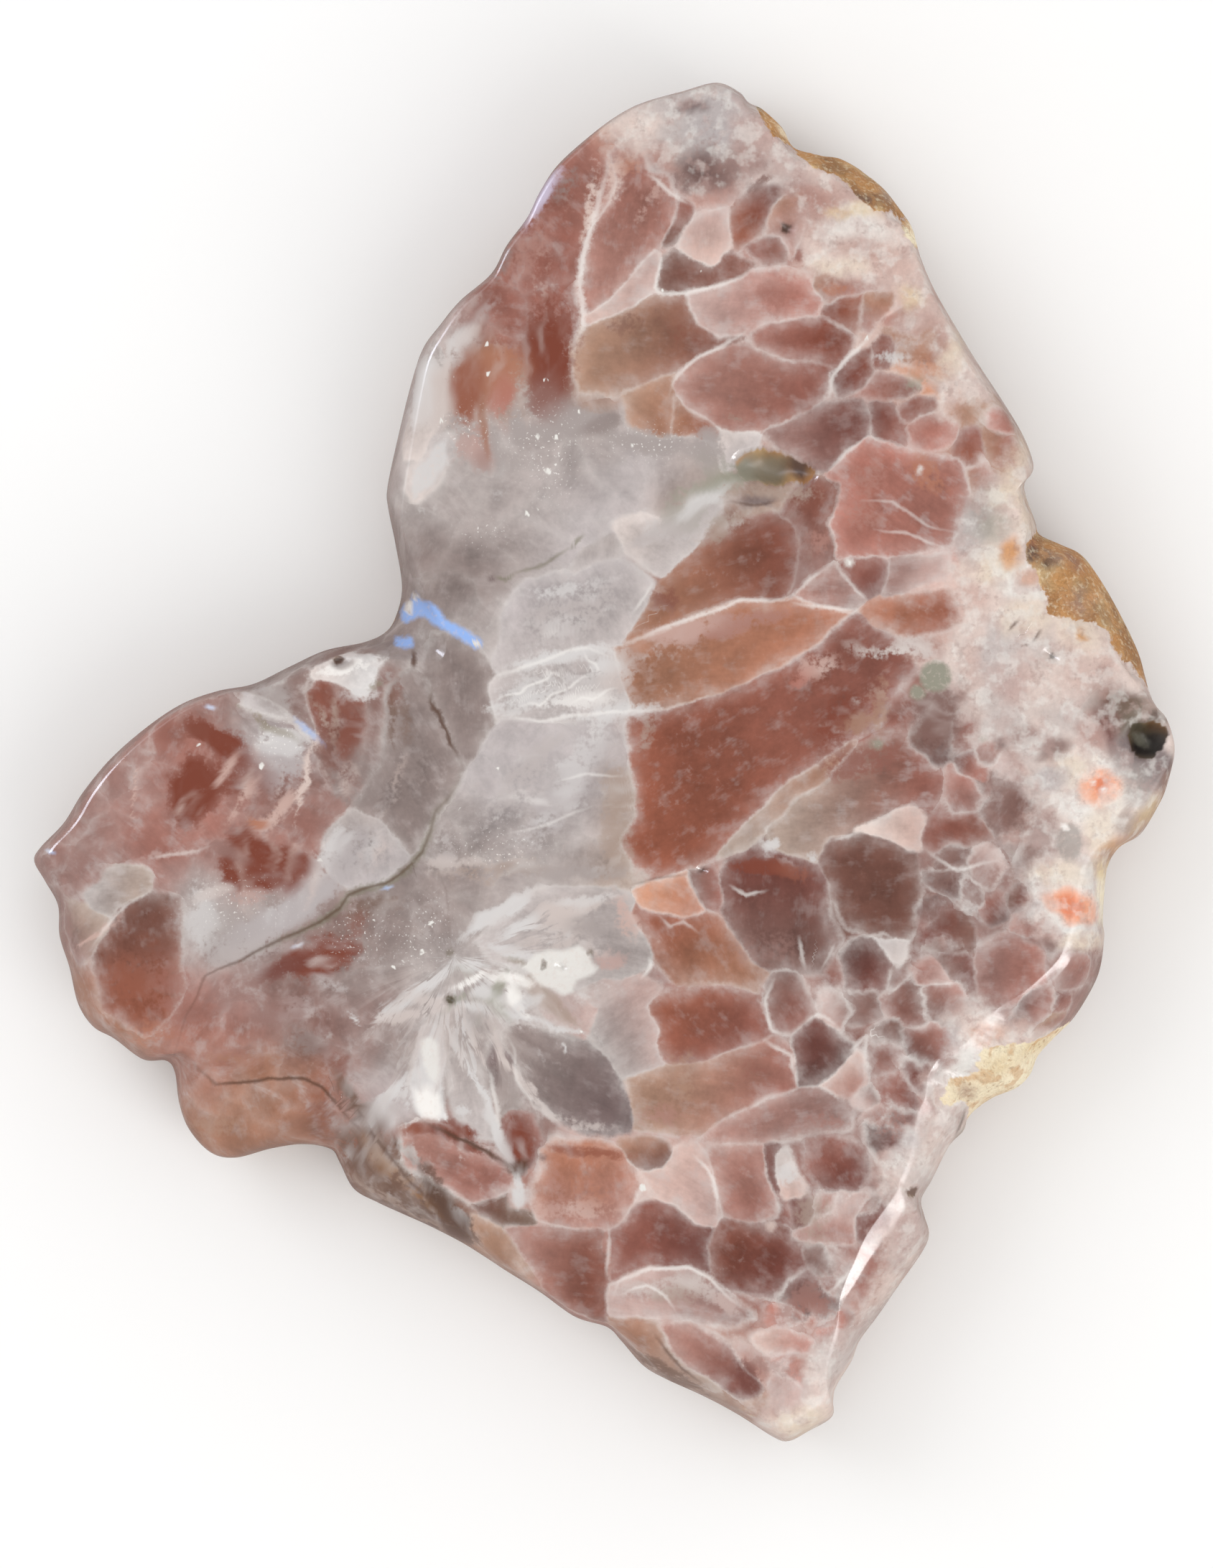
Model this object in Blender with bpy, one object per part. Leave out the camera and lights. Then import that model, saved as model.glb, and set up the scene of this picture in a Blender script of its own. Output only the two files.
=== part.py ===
# A polished slab of banded amethyst, lying flat: one closed solid.
# Run it in Blender 4.5, with blender --background --python part.py or from the text editor.

from math import ceil, cos, pi, radians, sin

import bmesh
import bpy
from mathutils import Vector, noise
from mathutils.geometry import delaunay_2d_cdt, intersect_point_line

MM = 0.001

# Driving dimensions, in metres.
SLAB_LENGTH = 0.1252  # along Y, tip to tip
SLAB_THICKNESS = 0.018
EQUATOR_HEIGHT = 0.0072  # where the edge is widest
EQUATOR_WANDER = 0.0022  # how far that height strays along the edge
UNDERCUT = 0.0026  # how far the sawn underside stays inside the widest line
UNDERCUT_WANDER = 0.0012
RIM_ANGLE = radians(22)  # how far round its arc the rolled edge starts, which leaves a crease at the face
LUMP_HEIGHT = 0.0034  # lumps of the rough crust
LUMP_SIZE = 0.0036
EDGE_LUMP_HEIGHT = 0.00022  # the faint lumps left on the polished edge
EDGE_LUMP_SIZE = 0.011
LONGEST_CHORD = 0.0026  # between two points along the edge
FACE_SPACING = 0.0056  # between two points in the open face
CRACK_HALF_WIDTH = 0.0005
CRACK_DEPTH = 0.0007

# The plan of the slab, clockwise from the upper tip, on a tracing grid with x to the right and y down.
# The third value is the width of the rolled edge there, measured towards the slab's heart. The grid's
# scale comes from SLAB_LENGTH.
OUTLINE = [
    (998, 111, 14), (1030, 124, 18), (1043, 138, 24), (1062, 147, 28), (1090, 173, 28),
    (1107, 201, 24), (1145, 211, 30), (1170, 215, 40), (1200, 231, 48), (1233, 258, 44),
    (1254, 285, 34), (1272, 312, 26), (1283, 353, 22), (1303, 400, 22), (1335, 455, 24),
    (1364, 502, 24), (1397, 552, 24), (1426, 600, 26), (1441, 637, 30), (1441, 655, 28),
    (1430, 670, 24), (1432, 690, 24), (1445, 724, 26), (1451, 742, 34), (1481, 756, 64),
    (1510, 770, 84), (1534, 800, 92), (1563, 850, 78), (1590, 908, 40), (1603, 957, 22),
    (1612, 982, 12), (1628, 1003, 10), (1638, 1046, 10), (1629, 1095, 26), (1615, 1127, 40),
    (1592, 1163, 42), (1563, 1181, 40), (1547, 1207, 40), (1542, 1245, 44), (1540, 1285, 50),
    (1542, 1305, 54), (1537, 1347, 64), (1526, 1377, 74), (1500, 1420, 88), (1471, 1450, 96),
    (1450, 1474, 100), (1439, 1500, 104), (1420, 1519, 104), (1385, 1534, 98), (1355, 1557, 86),
    (1345, 1580, 80), (1325, 1601, 70), (1301, 1648, 54), (1286, 1675, 50), (1290, 1697, 66),
    (1297, 1724, 84), (1287, 1750, 92), (1252, 1800, 96), (1228, 1835, 90), (1200, 1873, 78),
    (1188, 1902, 64), (1166, 1938, 48), (1158, 1958, 42), (1162, 1979, 42), (1128, 1999, 36),
    (1100, 2013, 34), (1079, 2008, 38), (1030, 1977, 44), (980, 1950, 48), (926, 1925, 48),
    (895, 1906, 44), (865, 1872, 34), (845, 1852, 24), (800, 1837, 18), (750, 1802, 16),
    (700, 1771, 18), (650, 1740, 30), (600, 1714, 58), (560, 1696, 72), (525, 1680, 84),
    (490, 1660, 94), (470, 1622, 100), (458, 1604, 102), (420, 1597, 104), (375, 1603, 110),
    (325, 1616, 112), (290, 1609, 104), (260, 1577, 90), (246, 1540, 66), (240, 1497, 42),
    (228, 1480, 36), (195, 1478, 34), (155, 1449, 32), (125, 1432, 30), (104, 1400, 32),
    (92, 1350, 34), (78, 1305, 34), (76, 1262, 32), (58, 1228, 30), (43, 1200, 28),
    (52, 1181, 26), (85, 1146, 24), (112, 1103, 22), (150, 1057, 20), (200, 1013, 20),
    (250, 980, 20), (300, 962, 20), (350, 952, 22), (400, 928, 24), (450, 905, 30),
    (505, 893, 48), (535, 878, 74), (549, 855, 92), (557, 815, 84), (548, 755, 54),
    (538, 705, 42), (537, 675, 40), (553, 600, 38), (572, 525, 32), (588, 480, 26),
    (612, 448, 20), (640, 415, 16), (683, 378, 14), (705, 338, 14), (733, 300, 14),
    (752, 262, 14), (778, 224, 14), (825, 183, 12), (862, 157, 12), (900, 139, 12),
    (950, 124, 12),
]
HEART = (900, 1150)  # every point of the edge can be seen from here

# Stretches of the edge that carry rough crust: centre and reach on the same grid.
CRUSTS = [
    (1075, 168, 42), (1150, 215, 55), (1215, 250, 60), (1262, 300, 45),
    (1455, 755, 60), (1515, 800, 80), (1560, 865, 65), (1595, 930, 40),
    (1430, 1490, 90), (1375, 1530, 70),
]

# Open pits in the face: centre, half length, half width, turn in degrees, and depth in metres.
PITS = [
    (1072, 656, 58, 24, -6, 0.0022),  # the long vug in the upper right
    (1594, 1028, 28, 25, 0, 0.0030),  # the deep vug by the right edge
    (1095, 322, 14, 11, 30, 0.0007),
    (780, 1390, 12, 9, 0, 0.0007),
    (975, 1212, 10, 8, 0, 0.0006),
    (625, 1392, 10, 8, 0, 0.0006),
    (1463, 915, 9, 7, 0, 0.0006),
]

# Open cracks in the face.
CRACKS = [
    [(604, 977), (617, 1012), (646, 1066), (642, 1085), (607, 1130), (604, 1155), (582, 1200),
     (528, 1232), (486, 1241), (454, 1279), (400, 1305), (330, 1340), (290, 1360), (270, 1400),
     (262, 1430)],
    [(812, 748), (790, 768), (745, 795), (695, 808)],
    [(600, 1556), (640, 1580), (680, 1598), (712, 1626)],
]


def clear_scene():
    for item in list(bpy.data.objects):
        bpy.data.objects.remove(item, do_unlink=True)


rows = [row for _, row, _ in OUTLINE]
columns = [column for column, _, _ in OUTLINE]
GRID = SLAB_LENGTH / (max(rows) - min(rows))
MIDDLE = ((max(columns) + min(columns)) / 2, (max(rows) + min(rows)) / 2)


def place(column, row):
    """A point of the tracing grid in the part's frame, in metres."""
    return Vector(((column - MIDDLE[0]) * GRID, (MIDDLE[1] - row) * GRID))


def through(before, start, end, after, t):
    """A point of the smooth Catmull-Rom curve from start to end."""
    return 0.5 * (
        2 * start
        + (end - before) * t
        + (2 * before - 5 * start + 4 * end - after) * t * t
        + (3 * start - before - 3 * end + after) * t * t * t
    )


def edge_points():
    """The edge as (x, y, roll width), with extra points on the longer stretches of its curve."""
    knots = [Vector((*place(column, row), roll * GRID)) for column, row, roll in OUTLINE]
    points = []
    for i, start in enumerate(knots):
        end = knots[(i + 1) % len(knots)]
        before, after = knots[i - 1], knots[(i + 2) % len(knots)]
        pieces = max(1, ceil((end - start).xy.length / LONGEST_CHORD))
        points += [through(before, start, end, after, k / pieces) for k in range(pieces)]
    return points


def roughness_at(spot):
    """1 in the middle of a stretch of crust, falling to 0 at its reach."""
    most = 0.0
    for column, row, reach in CRUSTS:
        away = (spot - place(column, row)).length / (reach * GRID)
        most = max(most, 1 - away * away)
    return most


def wander(spot, seed, size=0.03):
    """A slow value between about -1 and 1 that changes along the edge."""
    return noise.noise(Vector((spot.x / size, spot.y / size, seed)))


def wall_profile():
    """The rolled edge from the face down to the underside, as (inset, height) codes in 0..1.

    Above the widest line the inset is a share of the roll, and below it a share of the undercut."""
    upper = [RIM_ANGLE + (pi / 2 - RIM_ANGLE) * k / 5 for k in range(6)]
    lower = [pi / 2 * (1 + k / 4) for k in range(1, 5)]
    rings = []
    for angle in upper:
        inset = 1 - (sin(angle) - sin(RIM_ANGLE)) / (1 - sin(RIM_ANGLE))
        rings.append((inset, cos(angle) / cos(RIM_ANGLE), True))
    for angle in lower:
        rings.append((1 - sin(angle), 1 + cos(angle), False))
    return rings


def wall_point(edge, ring):
    """One point of the rolled edge."""
    inset, height, above = ring
    spot = edge.xy
    inward = (place(*HEART) - spot).normalized()
    equator = EQUATOR_HEIGHT + EQUATOR_WANDER * wander(spot, 3.1)
    undercut = UNDERCUT + UNDERCUT_WANDER * wander(spot, 7.7)
    if above:
        spot = spot + inward * edge.z * inset
        level = equator + (SLAB_THICKNESS - equator) * height
    else:
        spot = spot + inward * undercut * inset
        level = equator * height
    here = Vector((spot.x, spot.y, level))
    bump = LUMP_HEIGHT * roughness_at(spot) * abs(noise.noise(here / LUMP_SIZE))
    bump += EDGE_LUMP_HEIGHT * abs(noise.noise(here / EDGE_LUMP_SIZE + Vector((5, 5, 5))))
    # The face's rim, the widest line and the underside stay where they are.
    free = 4 * inset * (1 - inset)
    spot = spot + inward * bump * free
    return Vector((spot.x, spot.y, level - (bump * free if above else 0)))


def face_dip(spot):
    """How far the face lies below its plane at a spot: 0, or the depth of a pit or crack."""
    dip = 0.0
    for column, row, length, width, turn, depth in PITS:
        away = spot - place(column, row)
        angle = radians(turn)
        along = (away.x * cos(angle) + away.y * sin(angle)) / (length * GRID)
        across = (away.y * cos(angle) - away.x * sin(angle)) / (width * GRID)
        inside = 1 - along * along - across * across
        if inside > 0:
            dip = max(dip, depth * inside**0.5)
    for crack in CRACKS:
        nearest = min(distance_to(spot, crack[k], crack[k + 1]) for k in range(len(crack) - 1))
        if nearest < CRACK_HALF_WIDTH:
            dip = max(dip, CRACK_DEPTH * (1 - nearest / CRACK_HALF_WIDTH))
    return dip


def distance_to(spot, start, end):
    """Distance in metres from a spot to one leg of a crack."""
    a, b = place(*start), place(*end)
    nearest, share = intersect_point_line(spot, a, b)
    nearest = a if share < 0 else b if share > 1 else nearest
    return (spot - nearest.xy).length


def pit_rings():
    """Rings of points that shape the pits, as closed loops."""
    loops = []
    for column, row, length, width, turn, _ in PITS:
        count = 14 if length > 20 else 8
        angle = radians(turn)
        for share in ((1.0, 0.8, 0.4) if length > 20 else (1.0, 0.5)):
            loop = []
            for k in range(count):
                u = length * GRID * share * cos(2 * pi * k / count)
                v = width * GRID * share * sin(2 * pi * k / count)
                turned = Vector((u * cos(angle) - v * sin(angle), u * sin(angle) + v * cos(angle)))
                loop.append(place(column, row) + turned)
            loops.append(loop)
    return loops


def crack_lines():
    """The two lips and the floor of each crack, as open lines."""
    lines = []
    for crack in CRACKS:
        path = [place(*point) for point in crack]
        floor, left, right = [], [], []
        for k, spot in enumerate(path):
            ahead = path[min(k + 1, len(path) - 1)] - path[max(k - 1, 0)]
            side = Vector((-ahead.y, ahead.x)).normalized() * CRACK_HALF_WIDTH * 1.05
            floor.append(spot)
            left.append(spot + side)
            right.append(spot - side)
        lines += [floor, left, right]
    return lines


def face_layout(rim):
    """Points and edges of the face for the triangulation. The rim comes first."""
    points = list(rim)
    edges = [(k, (k + 1) % len(rim)) for k in range(len(rim))]
    for loop in pit_rings():
        first = len(points)
        points += loop
        edges += [(first + k, first + (k + 1) % len(loop)) for k in range(len(loop))]
    for line in crack_lines():
        first = len(points)
        points += line
        edges += [(first + k, first + k + 1) for k in range(len(line) - 1)]
    fixed = list(points)
    step = FACE_SPACING
    across = int(0.07 / step)
    for j in range(-across - 6, across + 7):
        for i in range(-across, across + 1):
            spot = Vector(((i + 0.5 * (j % 2)) * step, j * step * 0.866))
            if inside_loop(spot, rim) and min((spot - other).length for other in fixed) > 0.5 * step:
                points.append(spot)
    return points, edges


def inside_loop(spot, loop):
    """Whether a spot lies inside a closed loop, by counting the sides that a ray crosses."""
    inside = False
    for k, a in enumerate(loop):
        b = loop[k - 1]
        if (a.y > spot.y) != (b.y > spot.y):
            if spot.x < a.x + (b.x - a.x) * (spot.y - a.y) / (b.y - a.y):
                inside = not inside
    return inside


def build_slab():
    bm = bmesh.new()
    edge = edge_points()
    edge.reverse()  # counter-clockwise, seen from above
    rings = [[bm.verts.new(wall_point(point, ring)) for point in edge] for ring in wall_profile()]
    count = len(edge)
    for upper, lower in zip(rings, rings[1:]):
        for k in range(count):
            after = (k + 1) % count
            bm.faces.new((upper[k], lower[k], lower[after], upper[after]))
    bm.faces.new(reversed(rings[-1]))

    rim = [vert.co.xy for vert in rings[0]]
    points, edges = face_layout(rim)
    spots, _, triangles, sources, _, _ = delaunay_2d_cdt(points, edges, [list(range(count))], 1, 1e-7)
    verts = []
    for spot, source in zip(spots, sources):
        on_rim = [index for index in source if index < count]
        if on_rim:
            verts.append(rings[0][on_rim[0]])
        else:
            verts.append(bm.verts.new((spot.x, spot.y, SLAB_THICKNESS - face_dip(spot))))
    for triangle in triangles:
        bm.faces.new([verts[index] for index in triangle])

    bmesh.ops.recalc_face_normals(bm, faces=bm.faces)
    centre_on_box(bm)
    mesh = bpy.data.meshes.new("amethyst_slice")
    bm.to_mesh(mesh)
    bm.free()
    mesh.shade_smooth()
    mesh.set_sharp_from_angle(angle=radians(32))
    return mesh


def centre_on_box(bm):
    """Moves the slab sideways until its box is centred on the origin."""
    low = Vector([min(vert.co[axis] for vert in bm.verts) for axis in range(2)])
    high = Vector([max(vert.co[axis] for vert in bm.verts) for axis in range(2)])
    middle = (low + high) / 2
    bmesh.ops.translate(bm, vec=(-middle.x, -middle.y, 0), verts=bm.verts)


def stone_material():
    material = bpy.data.materials.new("polished_amethyst")
    material.use_nodes = True
    surface = material.node_tree.nodes["Principled BSDF"]
    surface.inputs["Base Color"].default_value = (0.30, 0.15, 0.12, 1)
    surface.inputs["Roughness"].default_value = 0.12
    surface.inputs["Metallic"].default_value = 0.0
    return material


clear_scene()
slab = bpy.data.objects.new("amethyst_slice", build_slab())
slab.data.materials.append(stone_material())
bpy.context.scene.collection.objects.link(slab)
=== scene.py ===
import bpy
import numpy as np
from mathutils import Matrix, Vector


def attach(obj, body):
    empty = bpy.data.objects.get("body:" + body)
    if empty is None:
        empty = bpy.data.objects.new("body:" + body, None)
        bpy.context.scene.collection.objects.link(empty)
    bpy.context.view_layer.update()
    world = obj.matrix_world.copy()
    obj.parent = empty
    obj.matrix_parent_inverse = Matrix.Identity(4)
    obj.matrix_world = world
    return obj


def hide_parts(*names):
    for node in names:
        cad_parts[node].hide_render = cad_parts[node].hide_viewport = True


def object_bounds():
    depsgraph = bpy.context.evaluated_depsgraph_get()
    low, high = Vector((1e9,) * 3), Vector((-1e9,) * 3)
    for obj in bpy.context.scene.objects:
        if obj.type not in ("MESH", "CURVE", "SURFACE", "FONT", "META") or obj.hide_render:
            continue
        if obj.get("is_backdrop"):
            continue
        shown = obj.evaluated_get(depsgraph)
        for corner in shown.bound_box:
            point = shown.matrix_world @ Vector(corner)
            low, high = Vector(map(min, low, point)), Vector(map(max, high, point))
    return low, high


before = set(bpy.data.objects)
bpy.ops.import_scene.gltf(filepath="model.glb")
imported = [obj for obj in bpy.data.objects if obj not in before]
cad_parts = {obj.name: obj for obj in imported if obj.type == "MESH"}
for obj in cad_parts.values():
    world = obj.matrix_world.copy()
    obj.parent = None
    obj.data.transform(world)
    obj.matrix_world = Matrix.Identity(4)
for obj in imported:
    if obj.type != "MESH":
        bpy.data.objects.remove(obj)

boxLow, boxHigh = (np.array(corner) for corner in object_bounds())  # the solid's box, in metres


def trail(text):
    # The points of a line or an outline, written as x,y with a space between them.
    return [tuple(map(float, word.split(","))) for word in text.split() if "," in word]


def rowsOf(text):
    # A drawing's rows, each ended by a semicolon: names and numbers, then the points of its outline, if it
    # has one. A line with # is a note.
    rows = "".join(line for line in text.splitlines(True) if "#" not in line).split(";")
    table = []
    for row in filter(str.strip, rows):
        parts = [word if word[0].isalpha() else float(word) for word in row.split() if "," not in word]
        table.append(tuple(parts + [trail(row)] * ("," in row)))
    return table


# Tones of the stone, as sRGB values; the pale blue one is a painted reflection, not a tone of the stone.
# The pale violet one is a painted highlight.
tones = {
    "brick": (126, 64, 48), "chestnut": (130, 78, 65), "rust": (148, 88, 69), "copper": (177, 118, 94),
    "apricot": (198, 142, 114), "salmon": (179, 118, 105), "rose": (157, 106, 95), "oldRose": (141, 89, 78),
    "oxblood": (115, 67, 59), "blush": (170, 125, 114), "mauve": (147, 112, 105), "dustyMauve": (127, 95, 88),
    "plum": (101, 69, 64), "walnut": (117, 79, 69), "fawn": (159, 113, 91), "tan": (168, 132, 112),
    "shell": (202, 170, 160), "pearl": (222, 202, 193), "lilac": (181, 172, 172), "haze": (167, 156, 153),
    "smoke": (140, 125, 121), "slate": (114, 96, 95), "frost": (212, 208, 207), "chalk": (232, 229, 224),
    "cream": (224, 207, 188), "milky": (203, 190, 185), "mist": (188, 178, 176), "taupe": (167, 146, 134),
    "olive": (132, 118, 94), "moss": (104, 94, 72), "umber": (88, 60, 46), "bark": (112, 84, 70),
    "ochre": (198, 142, 82), "amber": (210, 150, 98), "limonite": (160, 112, 64), "sand": (222, 197, 150),
    "ink": (32, 29, 28), "lichen": (150, 147, 132), "coral": (240, 156, 112), "petal": (187, 157, 150),
    "lavender": (198, 186, 206), "ember": (222, 116, 70), "glint": (150, 182, 238), "straw": (250, 238, 208),
    "pewter": (160, 150, 144), "snow": (244, 240, 236),
}

# The plan of the slab, clockwise from the upper tip, on a tracing grid with x to the right and y down.
# The third value is the width of the rolled edge there, measured towards the slab's heart.
slab = {
    "heart": (900, 1150),
    "edgeHeight": 0.0072,  # where the edge is widest, in metres
    "edgeWander": 0.0022,
    "undercut": 0.0026,
    "undercutWander": 0.0012,
    "wanderSize": 0.03,
    "rimAngle": 22,  # degrees round the edge's arc where a crease starts it
    "softRimAngle": 3,  # the same where the face rolls over without a crease
    "steep": (42, 66),  # slopes in degrees between which the pattern goes over from laid flat to unrolled
    "unrolled": 0.8,  # how much of the way down the edge the pattern then takes up
    "faceRings": 136,
    "upperRows": 11,
    "lowerRows": 7,
    "outline": trail("""
      998,111,14 1030,124,18 1043,138,24 1062,147,28 1090,173,28 1107,201,24 1145,211,30 1170,215,40
      1200,231,48 1233,258,44 1254,285,34 1272,312,26 1283,353,22 1303,400,22 1335,455,24 1364,502,24
      1397,552,24 1426,600,26 1441,637,30 1441,655,28 1430,670,24 1432,690,24 1445,724,26 1451,742,34
      1481,756,64 1510,770,84 1534,800,92 1563,850,78 1590,908,40 1603,957,22 1612,982,12 1628,1003,10
      1638,1046,10 1629,1095,26 1615,1127,40 1592,1163,42 1563,1181,40 1547,1207,40 1542,1245,44
      1540,1285,50 1542,1305,54 1537,1347,64 1526,1377,74 1500,1420,88 1471,1450,96 1450,1474,100
      1439,1500,104 1420,1519,104 1385,1534,98 1355,1557,86 1345,1580,80 1325,1601,70 1301,1648,54
      1286,1675,50 1290,1697,66 1297,1724,84 1287,1750,92 1252,1800,96 1228,1835,90 1200,1873,78
      1188,1902,64 1166,1938,48 1162,1957,42 1160,1980,42 1128,1999,36 1100,2013,34 1079,2008,38
      1030,1977,44 980,1950,48 926,1925,48 895,1906,44 865,1872,34 845,1852,24 800,1837,18 750,1802,16
      700,1771,18 650,1740,30 600,1714,58 560,1696,72 525,1680,84 490,1660,94 470,1622,100
      458,1604,102 420,1597,104 375,1603,110 325,1616,112 290,1609,104 260,1577,90 246,1540,66
      240,1497,42 228,1480,36 195,1478,34 155,1449,32 125,1432,30 104,1400,32 92,1350,34 78,1305,34
      76,1262,32 58,1228,30 43,1200,28 52,1181,26 85,1146,24 112,1103,22 150,1057,20 200,1013,20
      250,980,20 300,962,20 350,952,22 400,928,24 450,905,30 505,893,48 535,878,74 549,855,92
      557,815,84 548,755,54 538,705,42 537,675,40 553,600,38 572,525,32 588,480,26 612,448,20
      640,415,16 683,378,14 705,338,14 733,300,14 752,262,14 778,224,14 825,183,12 862,157,12
      900,139,12 950,124,12
    """),
    # Where the face meets the rolled edge in a crease: centre and reach.
    "creases": [(330, 1560, 190), (480, 1600, 130), (610, 1680, 90), (100, 1350, 110), (560, 860, 70),
                (940, 1920, 110)],
    # Rough stretches of the edge: centre and reach.
    "crusts": [(1075, 168, 42), (1150, 215, 55), (1215, 250, 60), (1262, 300, 45), (1455, 755, 60),
               (1515, 800, 80), (1560, 865, 65), (1595, 930, 40), (1430, 1490, 90), (1375, 1530, 70)],
    "crustLump": (0.0012, 0.0022),  # height and size, in metres
    "edgeLump": (0.00030, 0.011),
    # Open pits in the face: centre, half length, half width, turn in degrees, and depth in metres.
    "pits": [(1075, 656, 58, 24, 8, 0.0021), (1594, 1028, 28, 25, 0, 0.0030), (1095, 322, 14, 11, 30, 0.0007),
             (780, 1345, 8, 6, 0, 0.0004), (975, 1212, 10, 7, 0, 0.0005), (625, 1392, 9, 10, 0, 0.0007),
             (1463, 915, 9, 7, 0, 0.0005), (1265, 1657, 13, 8, 10, 0.0009), (477, 923, 12, 9, 0, 0.0008)],
}

outline = np.array(slab["outline"], float)
gridStep = (boxHigh[1] - boxLow[1]) / np.ptp(outline[:, 1])  # metres to one step of the tracing grid
gridMiddle = (outline[:, :2].max(0) + outline[:, :2].min(0)) / 2
heart = (np.array(slab["heart"]) - gridMiddle) * (1, -1) * gridStep


def toPlace(grid):
    # Tracing grid to metres: shift to the middle, turn y up, scale.
    return (np.asarray(grid, float) - gridMiddle) * (gridStep, -gridStep)


def toGrid(place):
    return place / (gridStep, -gridStep) + gridMiddle


def linear(tone):
    # sRGB to linear light: ((c + 0.055) / 1.055) ^ 2.4.
    return ((np.array(tones[tone]) / 255 + 0.055) / 1.055) ** 2.4


def fade(value, start, end):
    # 0 at start to 1 at end, along 3t^2 - 2t^3.
    t = np.clip((value - start) / (end - start), 0, 1)
    return t * t * (3 - 2 * t)


def blend(base, other, share):
    return base + (other - base) * np.clip(share, 0, 1)[:, None]


def cloud(points, size, seed=0):
    # Value noise in -1..1: heights hashed from a lattice of this size, blended with 3t^2 - 2t^3.
    spot = points / size
    base = np.floor(spot).astype(np.int64)
    part = spot - base
    part = part * part * (3 - 2 * part)
    factors = np.array([73856093, 19349663, 83492791])[: points.shape[1]]
    total = np.zeros(len(points))
    for corner in np.ndindex(*(2,) * points.shape[1]):
        mixed = ((base + corner) * factors).sum(1) + seed * 7919
        mixed = (mixed ^ (mixed >> 13)) * 1274126177 & 0xFFFFFFFF
        mixed = (mixed ^ (mixed >> 15)) * 2246822519 & 0xFFFFFFFF
        height = ((mixed >> 8) & 0xFFFF) / 32767.5 - 1
        total += height * np.where(corner, part, 1 - part).prod(1)
    return total


def billow(points, size, seed=0, octaves=3):
    # Sum of clouds, each half the size and half the height of the one before.
    total = sum(cloud(points, size / 2**k, seed + 17 * k) / 2**k for k in range(octaves))
    return total / (2 - 0.5 ** (octaves - 1))


def warped(grid, waves, seed):
    # Each point moved by a cloud in x and another in y.
    moved = grid.astype(float)
    for k, (strength, size) in enumerate(waves):
        shift = np.stack([cloud(grid, size, seed + 2 * k), cloud(grid, size, seed + 2 * k + 1)], axis=1)
        moved = moved + strength * shift
    return moved


def segmentDistance(points, start, end):
    leg = end - start
    share = np.clip(((points - start) @ leg) / max(leg @ leg, 1e-9), 0, 1)
    return np.linalg.norm(points - start - share[:, None] * leg, axis=1)


def pathDistance(points, path):
    path = np.asarray(path, float)
    return np.min([segmentDistance(points, a, b) for a, b in zip(path, path[1:])], axis=0)


def insideLoop(points, loop):
    # Counts the sides that a ray to the right crosses.
    inside = np.zeros(len(points), bool)
    for a, b in zip(loop, np.roll(loop, 1, axis=0)):
        crosses = (a[1] > points[:, 1]) != (b[1] > points[:, 1])
        reach = a[0] + (b[0] - a[0]) * (points[:, 1] - a[1]) / (b[1] - a[1] + 1e-9)
        inside ^= crosses & (points[:, 0] < reach)
    return inside


def signedDistance(points, loop):
    # Distance to a closed outline, negative inside it.
    loop = np.asarray(loop, float)
    away = pathDistance(points, np.vstack([loop, loop[:1]]))
    return np.where(insideLoop(points, loop), -away, away)


def ellipseAxes(points, x, y, length, width, turn):
    # How far each point is along and across a turned ellipse, in its half lengths and half widths.
    angle = np.radians(turn)
    away = points - (x, y)
    along = (away[:, 0] * np.cos(angle) + away[:, 1] * np.sin(angle)) / length
    across = (away[:, 1] * np.cos(angle) - away[:, 0] * np.sin(angle)) / width
    return along, across


def headingOf(turn):
    # The way that a turn in degrees points: 0 to the right, 90 down the tracing grid.
    return np.array([np.cos(np.radians(turn)), np.sin(np.radians(turn))])


def blob(points, ellipse):
    # Share of a soft ellipse: exp(-0.7 r^2), which is 1 at its middle and 0.5 at its edge.
    along, across = ellipseAxes(points, *ellipse)
    return np.exp(-0.7 * (along**2 + across**2))


def closedSpline(knots, steps=24):
    # Catmull-Rom: a cubic from each knot to the next, with slopes from the knots on either side.
    before, start = np.roll(knots, 1, axis=0)[:, None], knots[:, None]
    end, after = np.roll(knots, -1, axis=0)[:, None], np.roll(knots, -2, axis=0)[:, None]
    t = (np.arange(steps) / steps)[None, :, None]
    curve = 0.5 * (2 * start + (end - before) * t + (2 * before - 5 * start + 4 * end - after) * t**2
                   + (3 * start - before - 3 * end + after) * t**3)
    return curve.reshape(-1, knots.shape[1])


def evenly(loop, count):
    # The same closed loop with points at equal steps of its length.
    closed = np.vstack([loop, loop[:1]])
    length = np.r_[0, np.cumsum(np.linalg.norm(np.diff(closed[:, :2], axis=0), axis=1))]
    wanted = np.arange(count) / count * length[-1]
    return np.stack([np.interp(wanted, length, closed[:, k]) for k in range(closed.shape[1])], axis=1)


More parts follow.
